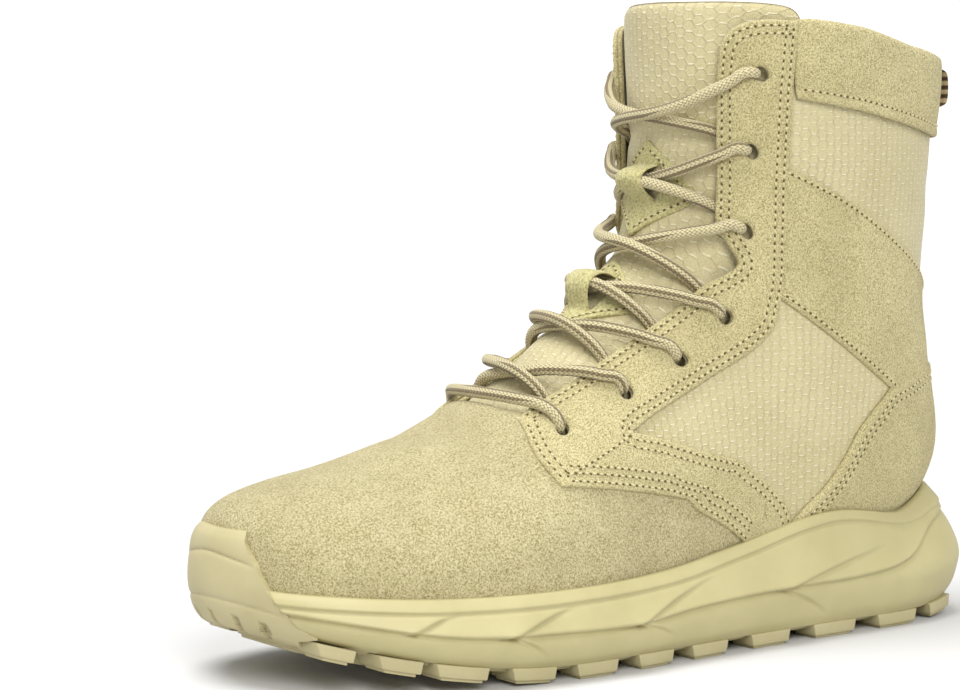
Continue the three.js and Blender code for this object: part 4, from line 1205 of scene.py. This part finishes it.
def to_line(x, z, line):
    """Distance in side view from a line, and the share of the way along it."""
    line = np.asarray(line, float)
    best, place = np.full(x.shape, 1e9), np.zeros(x.shape)
    for k, ((x0, z0), (x1, z1)) in enumerate(zip(line[:-1], line[1:])):
        dx, dz = x1 - x0, z1 - z0
        t = np.clip(((x - x0) * dx + (z - z0) * dz) / (dx * dx + dz * dz), 0, 1)
        miss = np.hypot(x - x0 - t * dx, z - z0 - t * dz)
        sign = np.sign((z - z0 - t * dz) * abs(dx) + 1e-9)
        place = np.where(miss < np.abs(best), (k + t) / (len(line) - 1), place)
        best = np.where(miss < np.abs(best), miss * sign, best)
    return best, place


def band_depth(x):
    """Depth of the plain band under the rim."""
    return RIM_BAND_AT_HEEL if x < HEEL_STARTS else RIM_BAND


RIM_EDGE = curve(RIM, 60).tolist()
RIM_LOWER = curve([(x, z - band_depth(x)) for x, z in reversed(RIM)], 60)
WAVE_LINE = curve(WAVE, 70)


def branch_line(start, run, rise):
    """A branch from its tip to the wave."""
    root = float(along(WAVE_LINE.tolist(), start))
    middle = (start - run / 2, root + rise / 2 + BRANCH_BOW)
    return curve([(start - run, root + rise), middle, (start, root)], 12)


BRANCH_LINES = [branch_line(*row) for row in BRANCHES]


def crease(gap, depth):
    """Section of a crease: a thin groove, with the side above it swelling out over the side below."""
    soft = 1 / (1 + np.exp(-gap / 0.25))
    lip = soft * 1.25 * np.exp(-np.abs(gap) / 4.0) - (1 - soft) * 0.85 * np.exp(-np.abs(gap) / 4.0)
    return depth * (lip - 1.1 * np.exp(-(gap / 0.7) ** 2))


def wall_relief(x, z):
    """Moulded relief of the midsole's side: rim, wave and branches."""
    below, _ = to_line(x, z, RIM_LOWER)
    relief = 0.9 / (1 + np.exp(-below / 0.3)) - 0.8 * np.exp(-(below / 0.7) ** 2)
    gap, _ = to_line(x, z, WAVE_LINE)
    relief += crease(gap, 1.0)
    for line in BRANCH_LINES:
        gap, share = to_line(x, z, line)
        relief += crease(gap, np.clip(share * 2.0, 0, 1) * 0.75)
    return relief


def closed_rings(name, rings, look):
    """A body of stacked rings, bottom and top closed."""
    n = len(rings[0])
    faces = ring_faces(len(rings), n)
    for base, flip in ((0, False), ((len(rings) - 1) * n, True)):
        for k in range(n // 2):
            quad = [base + k, base + (k + 1) % n, base + (n - 1 - k) % n, base + (n - k) % n]
            quad = list(dict.fromkeys(quad))
            if len(quad) > 2:
                faces.append(tuple(quad if flip else quad[::-1]))
    piece = make_mesh(name, to_frame(np.concatenate(rings)), faces, [look])
    face_out(piece)
    return piece


def rim_gap(points):
    """Distance from the sole's outline in to the upper, at the height of the rim."""
    u, q = np.meshgrid(np.linspace(0.05, 11.5, 420), np.linspace(-1, 1, 1001))
    cloud = on_last(u.ravel(), q.ravel())
    level_points = cloud[np.abs(cloud[:, 2] - along(RIM_EDGE, cloud[:, 0])) < 0.9]
    level_points[:, 2] = 0
    gap = nearest(np.column_stack([points, np.zeros(len(points))]), level_points)
    wide = 31
    closed = np.concatenate([gap[-wide:], gap, gap[:wide]])
    return np.convolve(closed, np.ones(2 * wide + 1) / (2 * wide + 1), "valid")


def midsole():
    """Moulded foam: the side wall with its relief, leaning in to the upper, and the rim turned over to it."""
    points, outward = outline_points(900)
    wall = curve(MIDSOLE_WALL, 78)
    x = points[:, 0]
    bottom, rim = lift(x) + TREAD, along(RIM_EDGE, x)
    rim = np.convolve(np.concatenate([rim[-12:], rim, rim[:12]]), np.ones(25) / 25, "valid")
    cover = 0.8 + 1.2 * np.clip((-50 - x) / 15, 0, 1)
    lean = np.maximum(rim_gap(points) - cover - 4.4, -3.2)
    rings = []
    floor_ring = points + outward * -9
    rings.append(np.stack([floor_ring[:, 0], floor_ring[:, 1], bottom - 0.5], -1))
    for share, out in wall:
        z = bottom + (rim - bottom) * share
        relief = wall_relief(x, z) * np.clip(share * 9, 0, 1)
        behind = 5 * np.clip((x - along(BUMPER_EDGE, z) - 0.3) / 1.5, 0, 1)
        leaned = lean * np.clip((share - 0.35) / 0.65, 0, 1) ** 1.5
        reach = out + relief - behind - leaned
        place = points + outward * reach[:, None]
        rings.append(np.stack([place[:, 0], place[:, 1], z], -1))
    for inset, drop in ((4.4, -0.3), (4.9, 0.4), (5.4, 3.0), (9, 8), (12, 9)):
        place = points - outward * (inset + lean)[:, None]
        rings.append(np.stack([place[:, 0], place[:, 1], rim - drop], -1))
    bed = np.minimum(along(FOOTBED, x) - 5, rim - 10)
    place = points - outward * (13 + lean)[:, None]
    rings.append(np.stack([place[:, 0], place[:, 1], bed], -1))
    piece = closed_rings("midsole_foam", rings, FOAM)
    finish_piece(piece, "midsole_foam", "midsole")


def tread_sheet():
    """Thin rubber sheet under the foam, which the lugs stand on."""
    points, outward = outline_points(420)
    rings = []
    for share, out in ((0, -8.6), (0.12, -8.0), (0.5, -7.6), (0.9, -7.0), (1.0, -7.3)):
        low, high = lift(points[:, 0]) + TREAD - TREAD_SHEET, lift(points[:, 0]) + TREAD + 0.1
        place = points + outward * out
        rings.append(np.stack([place[:, 0], place[:, 1], low + (high - low) * share], -1))
    return closed_rings("tread_sheet", rings, RUBBER)


def lug(name, front, back, near, far):
    """One tread block: a block with sloped flanks and a thinner pad under it. near and far give the y of
    its two long sides at an x."""
    pick_none()
    length = front - back
    bpy.ops.mesh.primitive_cube_add(size=1, location=(0, 0, 0))
    piece = bpy.context.object
    bpy.ops.object.mode_set(mode="EDIT")
    bpy.ops.mesh.select_all(action="SELECT")
    bpy.ops.mesh.subdivide(number_cuts=2)
    bpy.ops.object.mode_set(mode="OBJECT")
    for v in piece.data.vertices:
        along_x, across, height = v.co.x + 0.5, v.co.y + 0.5, v.co.z + 0.5
        flank = (1 - height) * 0.9
        x = back + length * along_x + (flank if along_x < 0.5 else -flank) * (abs(along_x - 0.5) > 0.2)
        y0, y1 = near(x), far(x)
        y = y0 + (y1 - y0) * across
        low, high = lift(x) + 1.1, lift(x) + TREAD + 0.2
        v.co = Vector(to_frame([x, y, low + (high - low) * height]))
    bpy.ops.object.mode_set(mode="EDIT")
    bpy.ops.mesh.select_mode(type="FACE")
    bpy.ops.mesh.select_all(action="DESELECT")
    bpy.ops.object.mode_set(mode="OBJECT")
    piece.data.update()
    for p in piece.data.polygons:
        p.select = p.normal.z < -0.7
    bpy.ops.object.mode_set(mode="EDIT")
    bpy.ops.mesh.inset(thickness=1.0 * MM, depth=0)
    bpy.ops.mesh.extrude_region_move(TRANSFORM_OT_translate={"value": (0, 0, -1.1 * MM)})
    bpy.ops.object.mode_set(mode="OBJECT")
    apply_modifier(piece, "BEVEL", width=0.35 * MM, segments=2, limit_method="ANGLE", angle_limit=0.6)
    piece.name = name
    piece.data.materials.append(RUBBER)
    return piece


def tread():
    """Tread sheet, a row of blocks along both sides and a broken row in the middle, joined."""
    points, _ = outline_points(1200)

    def edge(side, inset):
        """y of the sole's outline on one side, moved in, as a function of x."""
        kept = points[(points[:, 1] * side) > -12]
        upper = kept[np.argsort(kept[:, 0])]
        bins = np.arange(-150, 152, 3.0)
        reach = []
        for b in bins:
            near = upper[np.abs(upper[:, 0] - b) < 3.0]
            reach.append(np.max(near[:, 1] * side) if len(near) else 0)
        return lambda x: side * (np.interp(x, bins, reach) - inset)

    pieces = [tread_sheet()]
    for k, (front, back) in enumerate(LUGS):
        for side in (1, -1):
            pieces.append(lug(f"lug_{k}_{side}", front, back, edge(side, LUG_DEPTH), edge(side, LUG_INSET)))
        inner, outer = edge(-1, LUG_DEPTH + 5), edge(1, LUG_DEPTH + 5)
        if inner(front) < outer(front) - 6 and inner(back) < outer(back) - 6:
            pieces.append(lug(f"lug_{k}_middle", front, back, inner, outer))
    pick_none()
    for piece in pieces:
        piece.select_set(True)
    bpy.context.view_layer.objects.active = pieces[0]
    bpy.ops.object.join()
    whole = bpy.context.object
    whole.name = "tread_rubber"
    face_out(whole)
    bpy.ops.object.shade_smooth_by_angle(angle=0.7)
    finish_piece(whole, "rubber", "outsole")


def toe_bumper():
    """Rubber bumper over the toe: it swells out round its middle, and carries two soft lines and a row of
    short slots over the tread."""
    points, outward = outline_points(2400)
    split = len(points) // 2
    order = np.argsort(np.abs(points[:, 0] - 151) + np.abs(points[:, 1] + 10))[0]
    points, outward = np.roll(points, split - order, 0), np.roll(outward, split - order, 0)
    rows, columns = 72, 240
    fine = curve(BUMPER_PROFILE, 80)
    grid = []
    for s in np.linspace(0, 1, rows):
        out = np.interp(s, fine[:, 0], fine[:, 1])
        z_at = lift(points[:, 0]) + 1.0
        z = z_at + (BUMPER_TOP - z_at) * s
        limit = along(BUMPER_EDGE, z)
        kept = np.nonzero(points[:, 0] > limit - 0.001)[0]
        kept = kept[np.abs(kept - split) < 500]
        ends = np.linspace(kept[0], kept[-1], columns)
        x = np.interp(ends, kept, points[kept, 0])
        y = np.interp(ends, kept, points[kept, 1])
        ox = np.interp(ends, kept, outward[kept, 0])
        oy = np.interp(ends, kept, outward[kept, 1])
        height = np.interp(ends, kept, z[kept])
        along_edge = np.linspace(-1, 1, columns)
        upper_line = 43.5 - 3.5 * np.abs(along_edge) ** 1.6
        lower_line = 29.0 - 4.5 * np.abs(along_edge) ** 1.8
        dent = (0.75 * np.exp(-np.abs(height - upper_line) / 0.55)
                + 0.6 * np.exp(-np.abs(height - lower_line) / 0.6))
        swell = 0.5 * np.exp(-((height - upper_line - 5) / 4.5) ** 2)
        low_part = 1 / (1 + np.exp((height - lift(x) - 6.6) / 0.25))
        cut = sum(1 / (1 + np.exp((np.abs(y - middle) - 1.2) / 0.12)) for middle in BUMPER_SLOTS)
        dent = dent * (1 - along_edge ** 6)
        reach = out - dent + swell - 2.2 * cut * low_part
        grid.append(np.stack([x + ox * reach, y + oy * reach, height], -1))
    # the top edge rolls in over the toe
    for inset, rise in ((0.7, 0.5), (1.6, 0.75), (2.6, 0.6), (3.6, 0.0)):
        last = grid[rows - 1]
        middle = np.array([last[:, 0].mean() - 20, last[:, 1].mean(), 0])
        inward = middle - last
        inward[:, 2] = 0
        inward /= np.linalg.norm(inward, axis=1, keepdims=True)
        grid.append(last + inward * inset + np.array([0, 0, rise]))
    solid = np.array(grid)
    total = len(solid)
    faces = [(r * columns + k, r * columns + k + 1, (r + 1) * columns + k + 1, (r + 1) * columns + k)
             for r in range(total - 1) for k in range(columns - 1)]
    piece = make_mesh("toe_bumper", to_frame(solid.reshape(-1, 3)), faces, [RUBBER])
    face_out(piece)
    apply_modifier(piece, "SOLIDIFY", thickness=BUMPER_WALL * MM, offset=-1.0)
    apply_modifier(piece, "BEVEL", width=0.9 * MM, segments=3, limit_method="ANGLE", angle_limit=0.9)
    finish_piece(piece, "rubber")


# ---------- zip, loop and inside ----------
def zip_line(aside_mm=0.0, top=ZIP_TOP, bottom=ZIP_BOTTOM):
    """Line down the zip, or beside it: ahead of it above zero, behind it below."""
    share = np.linspace(0, 1, 10)
    x = top[0] + (bottom[0] - top[0]) * share
    z = top[1] + (bottom[1] - top[1]) * share
    line = place_on_side(x, z, -1)
    return aside(line, -aside_mm) if aside_mm else line


def strip_legs(one, other):
    """Outline of a strip between two lines."""
    return [one, np.array([one[-1], other[-1]]), other[::-1], np.array([other[0], one[0]])]


def zip_fastener():
    """Tape, with two rows of plated teeth that mesh along its middle."""
    left, right = (smooth(zip_line(d), 2.0) for d in (5.0, -5.0))
    legs = strip_legs(left, right)
    tape = cut_and_last("zip_tape", legs, FABRIC_OUT, 0.5, [ZIP_TAPE], radius=0.3)
    finish_piece(tape, "zip_tape", "zip_chain")
    pick_none()
    bpy.ops.mesh.primitive_cube_add(size=1)
    tooth = bpy.context.object
    tooth.scale = (1.05 * MM, 2.6 * MM, 1.3 * MM)
    bpy.ops.object.transform_apply(scale=True)
    apply_modifier(tooth, "BEVEL", width=0.25 * MM, segments=2)
    model = shape_of(tooth)
    frames = []
    for side in (1, -1):
        row = seam_frames(smooth(zip_line(0.9 * side), 1.0), 0.9)
        frames += row[(2 if side > 0 else 3):-2:2]
    teeth = make_mesh("zip_teeth", *placed(model, frames), [ZIP_METAL])
    finish_piece(teeth, "zip_metal")


def zip_facings():
    """Suede facings on both sides of the zip, folded at the edge and sewn with two rows, and a patch of suede
    over its lower end."""
    top, bottom = (-84.0, 184.5), (-58.5, 50.0)
    for name, near, far in (("front", 4.6, 15.0), ("back", -4.6, -14.0)):
        inner, outer = (zip_line(d, top, bottom) for d in (near, far))
        legs = strip_legs(inner, outer)
        piece = cut_and_last(f"zip_facing_{name}", legs, FABRIC_OUT, 1.35, [SUEDE], radius=0.8)
        finish_piece(piece, "suede")
        way = 1 if near > 0 else -1
        rows = [smooth(zip_line(near + way * d, top, bottom)) for d in (ROW_INSET, ROW_INSET + ROW_GAP)]
        sew(f"zip_facing_stitches_{name}", rows, [piece])
    places = place_on_side(np.array([-69.0, -53.0, -50.0, -66.0]), np.array([61.0, 61.0, 47.0, 47.0]), -1)
    corners = [tuple(p) for p in places]
    legs = [[corners[k], corners[(k + 1) % 4]] for k in range(4)]
    patch = cut_and_last("zip_end_patch", legs, FABRIC_OUT, 2.2, [SUEDE], radius=0.8)
    finish_piece(patch, "suede")
    sew("zip_end_patch_stitches", [aside(smooth(legs[0]), d)[2:-2] for d in (2.0, -2.0)], [patch])


def heel_loop():
    """Striped webbing folded to a flat loop and sewn in at the top of the back seam."""
    x, bottom, top, depth, width = -143.0, 184.0, 199.6, 13.4, 16.0
    pick_none()
    bpy.ops.mesh.primitive_plane_add(size=1)
    strip = bpy.context.object
    mesh = strip.data
    path = [(x + 2.0, bottom + 0.6), (x - 1.2, bottom), (x - depth + 1.2, bottom + 1.0),
            (x - depth, bottom + 3.2), (x - depth - 0.3, (bottom + top) / 2), (x - depth, top - 3.0),
            (x - depth + 1.4, top - 0.8), (x - 1.0, top), (x + 2.0, top - 0.6)]
    corners = {(-1, -1): (0, -1), (1, -1): (1, -1), (-1, 1): (0, 1), (1, 1): (1, 1)}
    for v in mesh.vertices:
        k, side = corners[(int(np.sign(v.co.x)), int(np.sign(v.co.y)))]
        px, pz = path[k]
        v.co = Vector(to_frame([px, side * width / 2, pz]))
    for k in range(1, len(path) - 1):
        mesh.update()
        bpy.ops.object.mode_set(mode="EDIT")
        bpy.ops.mesh.select_mode(type="EDGE")
        bpy.ops.mesh.select_all(action="DESELECT")
        bpy.ops.object.mode_set(mode="OBJECT")
        end = to_frame([path[k][0], 0, path[k][1]])
        for e in mesh.edges:
            ends = [mesh.vertices[i].co for i in e.vertices]
            e.select = all(abs(p.x - end[0]) < 1e-5 and abs(p.z - end[2]) < 1e-5 for p in ends)
            for i in e.vertices:
                if e.select:
                    mesh.vertices[i].select = True
        bpy.ops.object.mode_set(mode="EDIT")
        step = ((path[k + 1][0] - path[k][0]) * MM, 0, (path[k + 1][1] - path[k][1]) * MM)
        bpy.ops.mesh.extrude_region_move(TRANSFORM_OT_translate={"value": step})
        bpy.ops.object.mode_set(mode="OBJECT")
    settle(strip, "heel_loop_webbing", WEBBING)
    face_out(strip)
    apply_modifier(strip, "SOLIDIFY", thickness=1.4 * MM, offset=0.0)
    apply_modifier(strip, "SUBSURF", levels=2, render_levels=2)
    finish_piece(strip, "webbing", "heel_loop")


def dress(node_name, look):
    """Gives a CAD node that stays its finish."""
    kept = frame["nodes"][node_name]
    kept.data.materials.clear()
    kept.data.materials.append(look)


def back_strip():
    """Narrow suede strip over the back seam, between the ankle band and the collar."""
    low, high = 12.6, float(level([1.0], BAND_LINE)[0]) + 0.15
    legs = [[(low, 0.958), (high, 0.958)], [(high, 0.958), (high, 1.042)], [(high, 1.042), (low, 1.042)],
            [(low, 1.042), (low, 0.958)]]
    piece = cut_and_last("back_seam_strip", legs, FABRIC_OUT, 0.7, [SUEDE], radius=0.6)
    finish_piece(piece, "suede")
    sew("back_seam_strip_stitches", [smooth([(low, q), (high, q)]) for q in (0.972, 1.028)], [piece])


# ---------- put together ----------
for boot_side in (1, -1):
    quarter(boot_side)
    eyestay(boot_side)
ankle_band("ankle_band_lateral", 0.34, 1.0, 1)
ankle_band("ankle_band_medial_front", 0.34, 0.43, -1)
ankle_band("ankle_band_medial_back", 0.57, 1.0, -1)
vamp()
back_strip()
heel_counter()
collar_band()
finish_tongue(tongue())
keeper("lace_keeper_upper_suede", 11.8, 1.15, 0.155, 11.95, "lace_keeper_upper")
keeper("lace_keeper_lower_suede", 9.25, 0.85, 0.15, 9.3, "lace_keeper_lower")
lace()
midsole()
tread()
toe_bumper()
zip_fastener()
zip_facings()
heel_loop()
dress("insole", LINING)
dress("zip_slider", ZIP_METAL)
dress("zip_pull", ZIP_METAL)


# ---------- floor, light and camera ----------
FLOOR_METRES = 14
HORIZON_LIGHT, OVERHEAD_LIGHT = 1.15, 0.55
# Name, direction it comes from, width in radians, strength
SUNS = (("top", (0.2, -0.05, 1.0), 0.6, 2.9), ("key", (0.42, 0.95, 0.7), 0.5, 1.8))
CAMERA_PLACE = (598.4, 782.5, 180.9)  # on the last
CAMERA_TURN = (85.46, 0, 145)         # degrees
LENS_MM, SENSOR_MM = 107.46, 36


def studio():
    """A pale floor, a soft sky that is brighter near the horizon, and two wide lamps."""
    floor_material, tree = start_material("studio_floor_matt_white")
    finish_material(tree, linear("#cccccc"), 0.95)
    pick_none()
    bpy.ops.mesh.primitive_plane_add(size=FLOOR_METRES)
    floor = bpy.context.object
    floor.name = "studio_floor"
    floor.data.materials.append(floor_material)
    world = bpy.data.worlds.new("studio_world")
    world.use_nodes = True
    tree = world.node_tree
    way = node(tree, "SeparateXYZ", {"Vector": node(tree, "TexCoord").outputs["Generated"]})
    overhead = spread(tree, way.outputs["Z"], 0.05, 0.3, HORIZON_LIGHT, OVERHEAD_LIGHT)
    background = tree.nodes["Background"]
    background.inputs["Color"].default_value = (1, 1, 1, 1)
    tree.links.new(overhead, background.inputs["Strength"])
    bpy.context.scene.world = world
    for name, place, angle, power in SUNS:
        light = bpy.data.lights.new(name, "SUN")
        light.angle = angle
        light.energy = power
        lamp = bpy.data.objects.new(name, light)
        lamp.rotation_euler = Vector(place).to_track_quat("Z", "Y").to_euler()
        bpy.context.scene.collection.objects.link(lamp)
    bpy.context.scene.view_settings.view_transform = "Standard"


def camera():
    """The view from in front of the toe, on the lateral side."""
    lens = bpy.data.cameras.new("camera")
    lens.lens = LENS_MM
    lens.sensor_width = SENSOR_MM
    lens.clip_start = 0.05
    view = bpy.data.objects.new("camera", lens)
    view.location = Vector(to_frame(CAMERA_PLACE))
    view.rotation_euler = [math.radians(degrees) for degrees in CAMERA_TURN]
    bpy.context.scene.collection.objects.link(view)
    bpy.context.scene.camera = view


studio()
camera()
